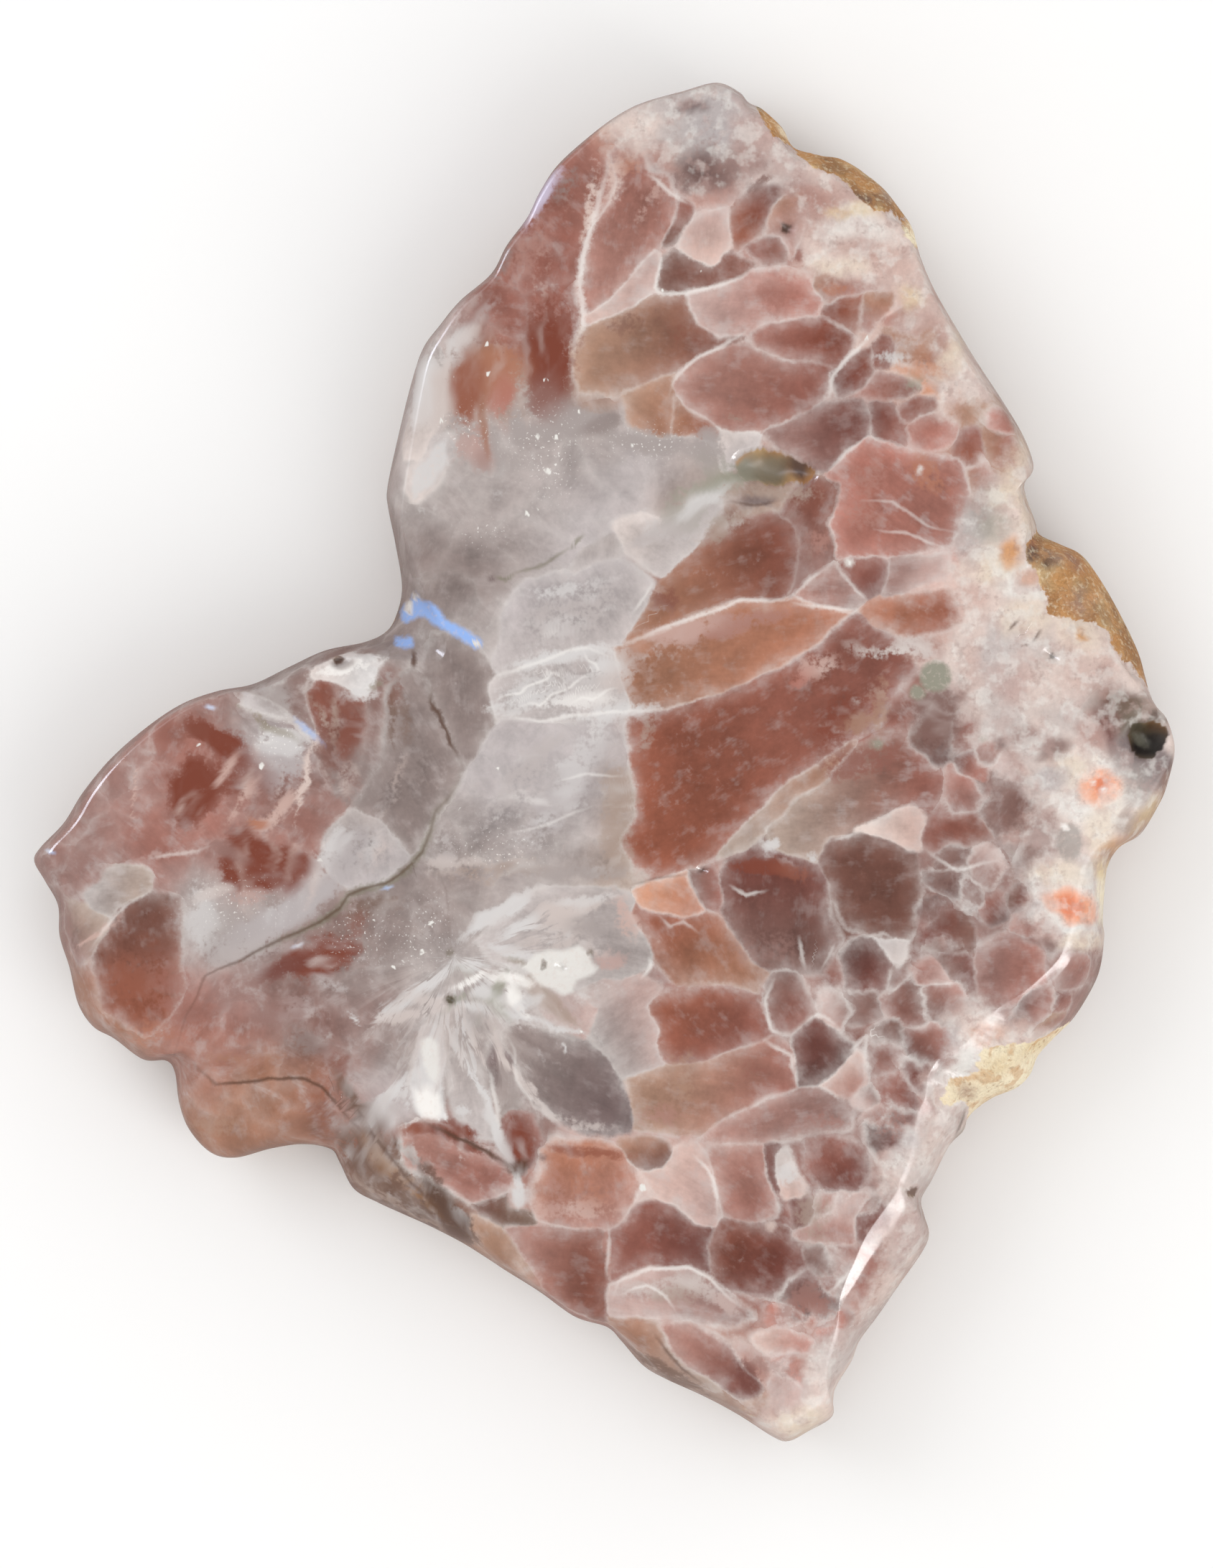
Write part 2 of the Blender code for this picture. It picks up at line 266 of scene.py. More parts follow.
def squareDisc(rings):
    # A square net of (2 rings + 1)^2 points as nested square rings: the ring's number and the share of
    # the way round it, counter-clockwise from the lower right corner.
    side = np.arange(-rings, rings + 1)
    i, j = (axis.ravel() for axis in np.meshgrid(side, side))
    ring = np.maximum(abs(i), abs(j))
    walk = np.select([i == ring, j == ring, i == -ring, j == -ring],
                     [j + ring, 3 * ring - i, 5 * ring - j, 7 * ring + i])
    share = np.where(ring > 0, walk % np.maximum(8 * ring, 1) / np.maximum(8 * ring, 1), 0)
    rim = np.flatnonzero(ring == rings)
    rim = rim[np.argsort(share[rim])]
    wide = 2 * rings + 1
    corner = (np.arange(wide - 1)[:, None] * wide + np.arange(wide - 1)).ravel()
    quads = np.stack([corner, corner + 1, corner + wide + 1, corner + wide], axis=1)
    cell = side[:-1] + 0.5
    turned = (cell[:, None] * cell).ravel() < 0  # so that each is halved from the heart outwards
    quads[turned] = np.roll(quads[turned], 1, axis=1)
    return ring / rings, share, rim, quads


def onLoop(loop, share):
    # The point a share of the way round a closed loop.
    spot = share * len(loop)
    first = np.floor(spot).astype(int) % len(loop)
    part = (spot - np.floor(spot))[:, None]
    return loop[first] * (1 - part) + loop[(first + 1) % len(loop)] * part


def reaches(points, spots):
    # The greatest 1 - (distance / reach)^2 over the spots, and 0 outside them all.
    value = np.zeros(len(points))
    for x, y, reach in spots:
        away = np.linalg.norm(points - (x, y), axis=1) / reach
        value = np.maximum(value, 1 - away**2)
    return value


def slabShape():
    # Face: rings from the heart to the rim. Edge: an ellipse arc from the rim out to the widest line and
    # in again to the underside. Underside: rings from its own rim to the heart. Beside each point goes its
    # place on the pattern: straight below it, and unrolled outwards where the edge is steep.
    height = boxHigh[2]
    count = 8 * slab["faceRings"]
    edge = evenly(closedSpline(outline[::-1]), count)
    edge, roll = toPlace(edge[:, :2]), edge[:, 2] * gridStep
    inward = (heart - edge) / np.linalg.norm(heart - edge, axis=1)[:, None]
    grid = toGrid(edge)
    equator = slab["edgeHeight"] + slab["edgeWander"] * billow(edge, slab["wanderSize"], 3, 2)
    undercut = slab["undercut"] + slab["undercutWander"] * billow(edge, slab["wanderSize"], 8, 2)
    crease = fade(reaches(grid, slab["creases"]), 0, 0.6)
    start = np.radians(slab["softRimAngle"] + (slab["rimAngle"] - slab["softRimAngle"]) * crease)

    rim = edge + inward * roll[:, None]
    ring, share, faceRim, faceQuads = squareDisc(slab["faceRings"])
    spot = heart + (onLoop(rim, share) - heart) * ring[:, None]
    parts = [np.c_[spot, height - faceDip(toGrid(spot))]]
    places = [spot]

    rough = reaches(grid, slab["crusts"])
    rows = []
    for k in range(1, slab["upperRows"] + 1):
        angle = start + (np.pi / 2 - start) * k / slab["upperRows"]
        inset = 1 - (np.sin(angle) - np.sin(start)) / (1 - np.sin(start))
        level = equator + (height - equator) * np.cos(angle) / np.cos(start)
        rows.append((inset * roll, level, 4 * inset * (1 - inset), 1.0))
    for k in range(1, slab["lowerRows"] + 1):
        angle = np.pi / 2 * (1 + k / slab["lowerRows"])
        inset = 1 - np.sin(angle)
        rows.append((inset * undercut, equator * (1 + np.cos(angle)), 4 * inset * (1 - inset), 0.0))
    out, before, above = np.zeros(count), roll, np.full(count, height)
    for inset, level, free, upper in rows:
        spot = edge + inward * np.reshape(inset, (-1, 1))
        solid = np.c_[spot, level]
        lump = slab["crustLump"][0] * rough * abs(billow(solid, slab["crustLump"][1], 31, 3))
        lump = lump + slab["edgeLump"][0] * abs(billow(solid, slab["edgeLump"][1], 5, 2))
        lump = lump * free
        parts.append(np.c_[spot + inward * lump[:, None], level - lump * upper])
        across, down = before - inset, above - level
        along = np.hypot(across, down)
        along = slab["unrolled"] * along
        steep = fade(np.degrees(np.arctan2(down, abs(across))), *slab["steep"])
        out = out + (across + (along - across) * steep if upper else along)
        places.append(rim - inward * np.reshape(out, (-1, 1)))
        before, above = inset, level

    # The underside's net is four times coarser, so four steps of the last row meet one of its own.
    ring, share, underRim, underQuads = squareDisc(slab["faceRings"] // 4)
    spot = heart + (onLoop(parts[-1][:, :2], share) - heart) * (ring * 0.985)[:, None]
    parts.append(np.c_[spot, np.zeros(len(spot))])
    places.append(spot)

    faces = [faceQuads]
    first = len(parts[0])
    upper = faceRim
    for _ in rows:
        lower = np.arange(first, first + count)
        faces.append(np.stack([upper, lower, np.roll(lower, -1), np.roll(upper, -1)], axis=1))
        first, upper = first + count, lower
    faces.append(underQuads[:, ::-1] + first)
    coarse = underRim + first
    beside = np.roll(coarse, -1)
    steps = [np.roll(upper, -k)[::4] for k in range(5)]
    fan = [(steps[0], coarse, steps[1]), (steps[1], coarse, steps[2]), (steps[2], coarse, beside),
           (steps[2], beside, steps[3]), (steps[3], beside, steps[4])]
    triangles = np.vstack([np.stack(corners, axis=1) for corners in fan])
    return np.vstack(parts), np.vstack(places), np.vstack(faces), triangles, first


def faceDip(grid):
    # Pits: depth * (1 - r^2)^0.8 inside each ellipse.
    dip = np.zeros(len(grid))
    grid = warped(grid, [(5, 20), (3, 10)], 81)
    for *ellipse, depth in slab["pits"]:
        along, across = ellipseAxes(grid, *ellipse)
        dip = np.maximum(dip, depth * np.clip(1 - along**2 - across**2, 0, 1) ** 0.8)
    return dip


points, places, quads, triangles, underStart = slabShape()
middle = (boxHigh[:2] + boxLow[:2]) / 2
for axis in range(2):  # kept just inside the solid's box
    low, high = points[:, axis].min(), points[:, axis].max()
    spare = (boxHigh[axis] - boxLow[axis]) * 0.9998 / (high - low)
    points[:, axis] = (points[:, axis] - (low + high) / 2) * min(1, spare) + middle[axis]
print("slab net:", len(points), "points,", 2 * len(quads) + len(triangles), "triangles")

# Crystals of the face on the tracing grid: tone at one end, tone at the other, the way from one to the other
# in degrees (0 to the right, 90 down), how pale their border is, how cloudy they are, and their outline.
crystals = rowsOf("""
  # upper lobe
  rose blush 100 .7 .6 842,216 870,212 895,222 901,248 925,255 940,285 935,320 915,350 880,388 850,420
    818,440 810,408 808,365 816,330 832,290 845,255;
  oldRose walnut 90 .5 .1 942,281 965,288 958,308 938,340 925,345 936,312;
  shell petal 0 .8 .9 813,462 818,440 850,420 880,388 912,352 920,375 912,405 880,428 850,446;
  walnut chestnut 0 .6 .1 917,380 927,366 940,355 965,365 990,374 1002,368 1015,354 1030,366 1045,374
    1032,391 1000,400 975,408 930,408 915,402;
  petal shell 90 .7 .7 945,348 962,308 975,288 1010,298 1015,330 1010,354 992,373 962,362;
  rust oxblood -50 .6 .1 1016,322 1020,296 1045,272 1080,262 1092,270 1085,298 1070,325 1040,338
    1026,346;
  oldRose chestnut 0 .6 .1 1046,350 1085,331 1094,345 1088,367 1060,370;
  tan chestnut 8 .5 .15 811,462 850,447 880,432 905,418 950,417 958,436 970,456 1000,476 1028,473
    1004,485 970,501 940,520 905,534 870,545 800,562 797,530 800,482;
  tan fawn 30 .35 .3 868,548 900,538 940,526 932,552 934,585 930,606 905,604 880,588;
  fawn rust 0 .4 .2 937,556 960,574 990,590 1004,604 996,613 962,610 934,606;
  petal salmon 0 .75 .8 960,412 1000,401 1048,386 1090,380 1120,395 1140,420 1136,440 1105,445
    1052,452 1032,466 1002,476 972,456 957,430;
  blush oldRose 8 .7 .3 936,534 970,503 1033,484 1054,497 1096,507 1153,516 1151,552 1124,572 1096,588
    1054,606 1005,600 963,575 945,552;
  rose brick 5 .7 .1 1048,467 1075,453 1145,446 1184,470 1180,490 1156,512 1096,502 1052,488;
  brick rust 0 .5 .1 1148,438 1167,421 1196,416 1200,434 1186,462 1166,455;
  fawn rose 90 .4 .2 1203,418 1237,417 1238,426 1224,442 1208,462 1198,452;
  oxblood brick -30 .7 .05 1160,525 1181,504 1209,490 1213,522 1196,546 1168,554;
  brick chestnut 0 .5 .1 1215,482 1228,472 1262,476 1288,466 1286,484 1268,490 1244,488 1232,510
    1216,508;
  rose chestnut 5 .6 .1 1196,552 1222,526 1252,528 1278,542 1240,556 1208,560;
  oldRose chestnut 0 .6 .1 1246,570 1272,558 1297,560 1302,574 1280,585 1250,589;
  oxblood oldRose 20 .4 .2 1214,590 1212,565 1240,566 1252,590 1262,612 1248,622 1222,612;
  rose salmon 60 .65 .3 1262,602 1279,587 1303,583 1326,600 1322,616 1293,624 1268,618;
  mauve oxblood -12 .6 .15 1062,606 1096,590 1145,566 1196,562 1210,584 1205,606 1180,624 1156,656
    1134,660 1110,642 1082,628;
  oldRose rust 90 .35 .2 1336,606 1356,602 1366,622 1360,652 1340,655 1328,635;
  fawn rose 0 .3 .35 1368,600 1400,605 1412,625 1408,648 1380,645 1366,628;
  milky mist 60 .3 .8 998,596 1024,602 1052,606 1050,626 1028,645 1010,654;
  salmon rose 35 .7 .75 1205,612 1240,620 1262,632 1300,640 1338,650 1345,690 1332,730 1318,762
    1280,766 1230,775 1185,777 1162,776 1158,752 1152,730 1168,704 1170,682 1152,664 1162,650
    1182,630;
  # middle
  fawn chestnut -18 .25 .15 870,894 893,862 915,818 960,775 1020,735 1075,722 1098,735 1106,770
    1100,820 1090,838 1030,838 985,852 930,874;
  chestnut mauve 115 .3 .25 1128,668 1166,680 1168,700 1153,728 1160,756 1158,780 1124,808 1096,836
    1104,800 1112,765 1108,735 1085,720 1100,700;
  blush mauve 0 .9 .6 1100,834 1126,808 1160,790 1198,837 1186,850 1145,845;
  oldRose oxblood 60 .6 .05 1167,792 1182,783 1216,779 1234,788 1236,802 1218,828 1205,832 1188,822;
  mauve petal 0 .6 .5 1240,781 1317,774 1314,798 1252,826 1228,832 1240,806;
  copper fawn 175 .75 .25 862,902 900,887 960,862 1030,838 1096,838 1145,846 1182,855 1150,886
    1110,918 1068,938 1023,958 970,974 921,988 880,988 866,950;
  copper rust 20 .6 .2 1199,852 1223,838 1286,831 1314,828 1334,866 1307,879 1258,881 1216,870;
  mist mist 0 .5 1 678,954 706,940 752,925 818,903 858,912 866,950 874,984 830,992 752,1003 690,1000
    682,973;
  rust oldRose -32 .55 .4 876,992 921,990 970,976 1023,960 1068,940 1110,919 1145,891 1184,857
    1192,862 1216,882 1289,912 1262,940 1226,986 1216,1008 1180,1034 1142,1056 1104,1080 1061,1117
    1023,1152 998,1178 969,1209 912,1220 868,1228 852,1192 870,1154 873,1109 882,1046;
  taupe fawn -35 .6 .5 1000,1186 1026,1158 1074,1110 1110,1082 1146,1060 1186,1038 1180,1060 1140,1090
    1100,1118 1068,1150 1040,1178;
  taupe oldRose 0 .25 .8 1068,1152 1104,1118 1150,1084 1200,1040 1250,1020 1290,1050 1306,1088
    1290,1118 1240,1122 1192,1146 1150,1168 1130,1200 1086,1184;
  oxblood dustyMauve 95 .5 .15 1004,1231 1012,1199 1042,1187 1081,1186 1130,1205 1148,1230 1146,1266
    1163,1307 1138,1350 1071,1350 1042,1332 1018,1294 1006,1266;
  walnut walnut 0 .55 .15 1140,1192 1153,1174 1199,1161 1246,1174 1270,1186 1279,1231 1276,1275
    1257,1305 1215,1296 1180,1286 1160,1250 1148,1221;
  plum oxblood 60 .7 .1 1171,1326 1184,1310 1211,1305 1227,1323 1237,1345 1228,1373 1200,1386
    1177,1374;
  mist milky 60 .5 .8 1214,1304 1258,1311 1247,1347 1236,1336;
  pearl shell 0 .6 .6 1190,1154 1216,1146 1245,1130 1270,1125 1284,1140 1276,1176 1262,1184 1235,1168
    1205,1160;
  oldRose chestnut 20 .5 .1 1281,1166 1296,1140 1311,1115 1335,1130 1360,1146 1374,1160 1345,1175
    1300,1180;
  mist haze 10 .4 .9 660,1305 688,1286 722,1250 783,1233 858,1228 876,1256 873,1272 905,1327 898,1345
    866,1360 832,1358 783,1381 752,1362 728,1344 688,1330;
  apricot copper 30 .8 .4 880,1240 915,1225 952,1220 968,1250 978,1268 950,1276 912,1268 892,1262;
  rust fawn 60 .6 .3 882,1262 915,1270 952,1278 982,1270 1010,1288 1042,1329 1067,1354 1054,1378
    1007,1367 940,1366 914,1335 903,1301 876,1272;
  dustyMauve oldRose 0 .4 .2 956,1220 990,1210 1003,1232 1006,1262 985,1266 970,1248;
  rust oldRose 40 .5 .25 900,1400 928,1383 998,1375 1055,1384 1070,1425 1076,1438 1036,1452 979,1473
    936,1481 914,1456 919,1433;
  tan rose 10 .45 .35 876,1500 934,1485 979,1479 1036,1456 1077,1443 1100,1467 1109,1490 1108,1512
    1087,1520 1023,1547 972,1575 888,1566;
  blush mauve -10 .7 .5 974,1586 1023,1552 1097,1517 1140,1514 1178,1536 1178,1566 1119,1576 1061,1589
    1010,1590;
  dustyMauve oldRose 60 .7 .2 1074,1357 1102,1357 1118,1391 1127,1411 1100,1438 1078,1434 1066,1404;
  oxblood plum 50 .75 .1 1104,1442 1131,1418 1160,1430 1182,1455 1160,1492 1138,1512 1113,1508
    1108,1478;
  shell blush 60 .8 .6 1144,1512 1192,1465 1202,1508 1188,1522 1164,1524;
  oldRose oxblood 60 .5 .3 1128,1590 1160,1585 1200,1600 1206,1630 1190,1655 1150,1655 1124,1625;
  oxblood oxblood 0 .4 .05 1106,1665 1125,1668 1126,1704 1108,1706;
  # lower lobe
  blush rose 40 .7 .4 985,1597 1058,1591 1062,1631 1072,1656 1078,1686 1042,1697 1006,1690 997,1637;
  oxblood oxblood 90 .4 0 1063,1591 1080,1592 1076,1630 1088,1652 1078,1656 1066,1632;
  milky shell 70 .5 .8 1080,1606 1096,1600 1104,1626 1118,1650 1112,1666 1094,1662 1078,1634;
  shell petal 30 .6 .9 938,1598 966,1593 986,1620 992,1650 1000,1690 991,1706 966,1700 937,1672
    914,1660 896,1634 928,1627;
  fawn walnut 60 .4 .1 868,1588 900,1584 921,1588 930,1607 918,1624 902,1627 879,1611;
  copper blush 75 .7 .45 752,1600 776,1587 830,1587 866,1600 884,1626 886,1650 875,1680 860,1704
    820,1706 770,1699 748,1688 748,1650 757,1620;
  tan fawn 60 .3 .3 650,1680 700,1702 715,1722 735,1762 760,1802 800,1845 745,1830 690,1780 655,1730;
  blush chestnut 8 .55 .2 706,1704 770,1703 838,1709 846,1740 848,1780 844,1800 842,1852 800,1838
    762,1800 737,1760 717,1720;
  oldRose oxblood 20 .5 .15 850,1711 873,1695 889,1679 915,1670 936,1676 964,1705 990,1711 984,1733
    984,1764 959,1757 928,1760 905,1757 857,1780;
  chestnut oxblood 40 .55 .1 989,1733 1002,1699 1042,1702 1096,1711 1115,1736 1118,1767 1087,1795
    1010,1789 987,1761;
  petal mauve 10 .7 .7 850,1806 858,1785 905,1763 953,1760 979,1770 1003,1788 1022,1812 1047,1828
    1010,1838 943,1826 896,1829 858,1830;
  blush oxblood 40 .7 .15 919,1846 957,1838 995,1861 1040,1899 1059,1929 1049,1940 1033,1943 995,1920
    957,1901 936,1876;
  fawn taupe 20 .5 .7 848,1830 896,1832 918,1846 934,1878 957,1903 995,1924 1010,1965 926,1935
    862,1885;
  shell salmon 0 .7 .5 1052,1862 1085,1846 1130,1868 1116,1884 1080,1888;
  blush rose 20 .9 .7 558,1572 579,1560 604,1564 640,1583 680,1602 718,1634 702,1660 655,1672 602,1655
    568,1612;
  oxblood oldRose -85 .2 .2 702,1536 738,1556 752,1590 736,1616 722,1632 706,1600;
  walnut bark 20 .4 .1 655,1674 704,1662 712,1680 745,1688 742,1700 702,1700 668,1690;
  smoke slate 25 .35 .25 705,1425 720,1420 745,1435 770,1445 800,1455 815,1450 840,1475 862,1500
    872,1530 880,1560 878,1568 850,1575 820,1570 795,1560 770,1550 750,1535 735,1500 715,1465
    703,1445;
  haze petal -30 .4 .8 800,1384 840,1366 890,1362 912,1376 900,1400 916,1432 912,1456 926,1484
    876,1496 862,1496 838,1462 808,1420;
  # grey quartz between the lobes
  lilac mist 60 .3 .8 704,862 717,832 742,806 800,798 852,782 880,790 905,812 888,860 866,898 826,898
    760,918 704,938 684,934 703,895;
  milky mist 30 .3 .8 858,734 880,722 950,712 985,692 1004,702 960,770 925,800 896,788 868,770;
  haze mist 90 .2 .6 808,770 852,748 864,776 850,782 800,796;
  haze milky 90 .2 .9 572,560 588,500 604,470 630,496 626,520 624,560 606,600 590,640 568,640 560,610;
  mist milky 120 .3 .9 628,612 632,636 614,662 600,682 580,698 573,686 575,662 598,642 612,617;
  smoke smoke 90 .3 .5 606,880 660,902 684,936 682,975 690,1002 676,1020 660,1050 646,1062 620,1010
    604,975 598,948;
  smoke smoke 60 .3 .5 548,960 576,936 598,950 604,980 618,1014 644,1068 622,1112 606,1130 602,1156
    582,1196 560,1176 536,1146 500,1126 540,1060;
  haze lilac 80 .3 .9 440,1170 456,1150 494,1132 530,1148 556,1170 576,1200 556,1218 526,1230 486,1238
    470,1215;
  # left lobe
  haze taupe 0 .5 .9 152,1212 205,1198 210,1245 180,1256 160,1275 130,1262 126,1245 148,1235;
  walnut rust 75 .45 .2 170,1264 212,1247 252,1252 252,1350 250,1420 200,1440 150,1400 136,1330
    158,1285;
  mauve taupe -40 .4 .4 78,1250 122,1262 158,1278 150,1300 130,1325 96,1340 70,1300;
  lilac haze 30 .7 .7 330,962 350,956 392,985 440,1024 418,1010 395,996 350,985;
  smoke dustyMauve 20 .5 .3 350,952 400,930 432,925 440,948 424,968 440,1020 385,985;
  chestnut dustyMauve 60 .2 .4 440,952 470,955 500,972 512,1010 498,1060 470,1100 446,1060 444,1020
    426,970;
  mauve rose 90 .45 .3 215,1008 226,1054 194,1052;
  milky frost 20 .25 .9 426,946 440,928 478,908 516,904 540,910 526,930 520,950 500,968 478,962
    455,952;
  # pale teeth beside the lower lobe
  mist frost 90 .2 .9 587,1430 607,1432 617,1460 612,1504 618,1560 598,1556 580,1534 574,1502;
  haze mist 80 .3 .8 630,1470 642,1465 662,1490 676,1530 690,1580 662,1582 640,1560 628,1520;
  slate smoke 90 .2 .4 690,1446 705,1465 714,1500 722,1545 700,1552 690,1520 682,1480;
  haze petal 40 .3 .6 735,1345 790,1385 840,1366 868,1380 850,1430 815,1440 770,1420 740,1390;
  # pink ones that reach the right edge
  rose mauve 110 .4 .4 1478,1342 1502,1326 1534,1332 1534,1362 1515,1392 1500,1384 1472,1382;
  oxblood rose 60 .3 .3 1466,1388 1484,1380 1500,1388 1506,1402 1488,1412 1464,1408;
  tan rose 60 .3 .5 1466,1414 1490,1414 1512,1400 1498,1424 1470,1446 1452,1440;
  mauve rose 0 .4 .6 1356,1322 1400,1300 1448,1330 1446,1368 1408,1394 1366,1396 1348,1360;
""")
print("crystals:", len(crystals))

# Ground tone between and below the crystals: centre, reach and tone.
zones = rowsOf("""
  930 170 70 mist; 1010 130 60 lilac; 1040 200 60 milky; 960 240 50 mauve; 850 190 30 apricot; 800 240
  55 rose; 720 360 60 oldRose; 790 320 60 oldRose; 750 420 50 oldRose; 690 440 50 rose; 660 520 50
  fawn; 625 430 40 mist; 600 500 45 mist; 700 540 40 tan; 740 570 40 haze; 650 610 40 haze; 590 590 45
  mist; 560 680 40 haze; 560 780 40 smoke; 640 700 60 haze; 720 680 60 haze; 640 790 55 smoke; 800 640
  60 haze; 860 600 40 haze; 800 720 60 lilac; 900 660 60 lilac; 960 640 40 haze; 960 700 50 taupe;
  1060 690 50 taupe; 1100 720 40 fawn; 740 760 50 haze; 830 830 60 lilac; 600 850 45 smoke; 560 830 30
  smoke; 650 900 50 haze; 620 960 40 smoke; 560 1000 50 dustyMauve; 480 1020 50 dustyMauve; 560 1100
  60 smoke; 430 1100 40 dustyMauve; 380 990 45 smoke; 390 1040 40 lilac; 310 980 40 mauve; 260 1020 50
  rose; 200 1080 60 mauve; 130 1140 60 mauve; 70 1190 50 mauve; 150 1200 40 mauve; 230 1150 50 rose;
  300 1100 60 rose; 360 1100 50 mauve; 360 1190 50 rose; 420 1200 40 rose; 460 1130 40 mauve; 400 1150
  40 rose; 450 1230 50 haze; 350 1270 60 haze; 290 1310 50 haze; 110 1290 50 mauve; 120 1390 50 fawn;
  190 1360 60 oldRose; 180 1430 50 fawn; 280 1380 40 rose; 340 1400 50 mauve; 430 1340 50 dustyMauve;
  470 1280 40 walnut; 560 1260 50 smoke; 500 1330 50 smoke; 420 1440 50 dustyMauve; 490 1420 50 mauve;
  300 1460 50 rose; 520 1390 50 smoke; 290 1540 70 fawn; 380 1550 60 fawn; 470 1560 50 rust; 430 1590
  50 fawn; 250 1500 40 rose; 530 1640 50 bark; 600 1690 50 umber; 560 1680 40 bark; 500 1640 40 bark;
  600 1400 60 haze; 680 1390 60 haze; 560 1470 50 smoke; 640 1480 50 smoke; 660 1560 40 mauve; 720
  1560 40 dustyMauve; 690 1490 40 haze; 540 1530 35 lilac; 640 1230 50 smoke; 690 1260 50 haze; 620
  1150 50 haze; 700 1060 70 lilac; 800 1080 70 lilac; 760 1180 60 haze; 860 1120 40 taupe; 860 1200 40
  taupe; 720 940 60 mist; 840 1380 50 haze; 860 1450 50 haze; 900 1560 50 blush; 700 1650 40 blush;
  700 1760 50 tan; 800 1780 60 rose; 830 1560 50 petal; 1000 1400 80 rose; 1000 1540 60 blush; 930
  1650 60 shell; 1050 1760 60 oxblood; 950 1830 50 blush; 1100 1850 60 blush; 960 1930 60 taupe; 1060
  1960 60 fawn; 1130 1960 40 cream; 1150 1800 70 rose; 1220 1780 50 rose; 1180 1690 60 mauve; 1120
  1650 50 oldRose; 1180 1560 60 mauve; 1250 1480 60 oldRose; 1230 1390 60 oldRose; 1300 1360 60
  dustyMauve; 1180 1450 60 dustyMauve; 1380 1340 50 mauve; 1320 1280 60 dustyMauve; 1400 1180 50
  mauve; 1320 1200 60 mauve; 1200 1220 70 walnut; 1330 1100 60 oldRose; 1250 1080 50 rose; 1390 1080
  40 rose; 1310 1010 40 dustyMauve; 1150 1010 60 brick; 1000 1000 60 rose; 1230 920 50 oldRose; 1260
  890 40 rust; 1320 860 40 shell; 1000 900 90 fawn; 1260 700 70 salmon; 1360 630 50 fawn; 1380 590 40
  tan; 1280 520 40 apricot; 1230 440 50 shell; 1170 400 40 tan; 1100 400 50 rose; 1050 340 50 rose;
  980 320 50 blush; 1000 440 60 petal; 880 500 60 chestnut; 1050 540 70 blush; 1150 600 60 oldRose;
  1000 800 70 chestnut; 870 320 60 blush; 830 560 40 tan;
""")
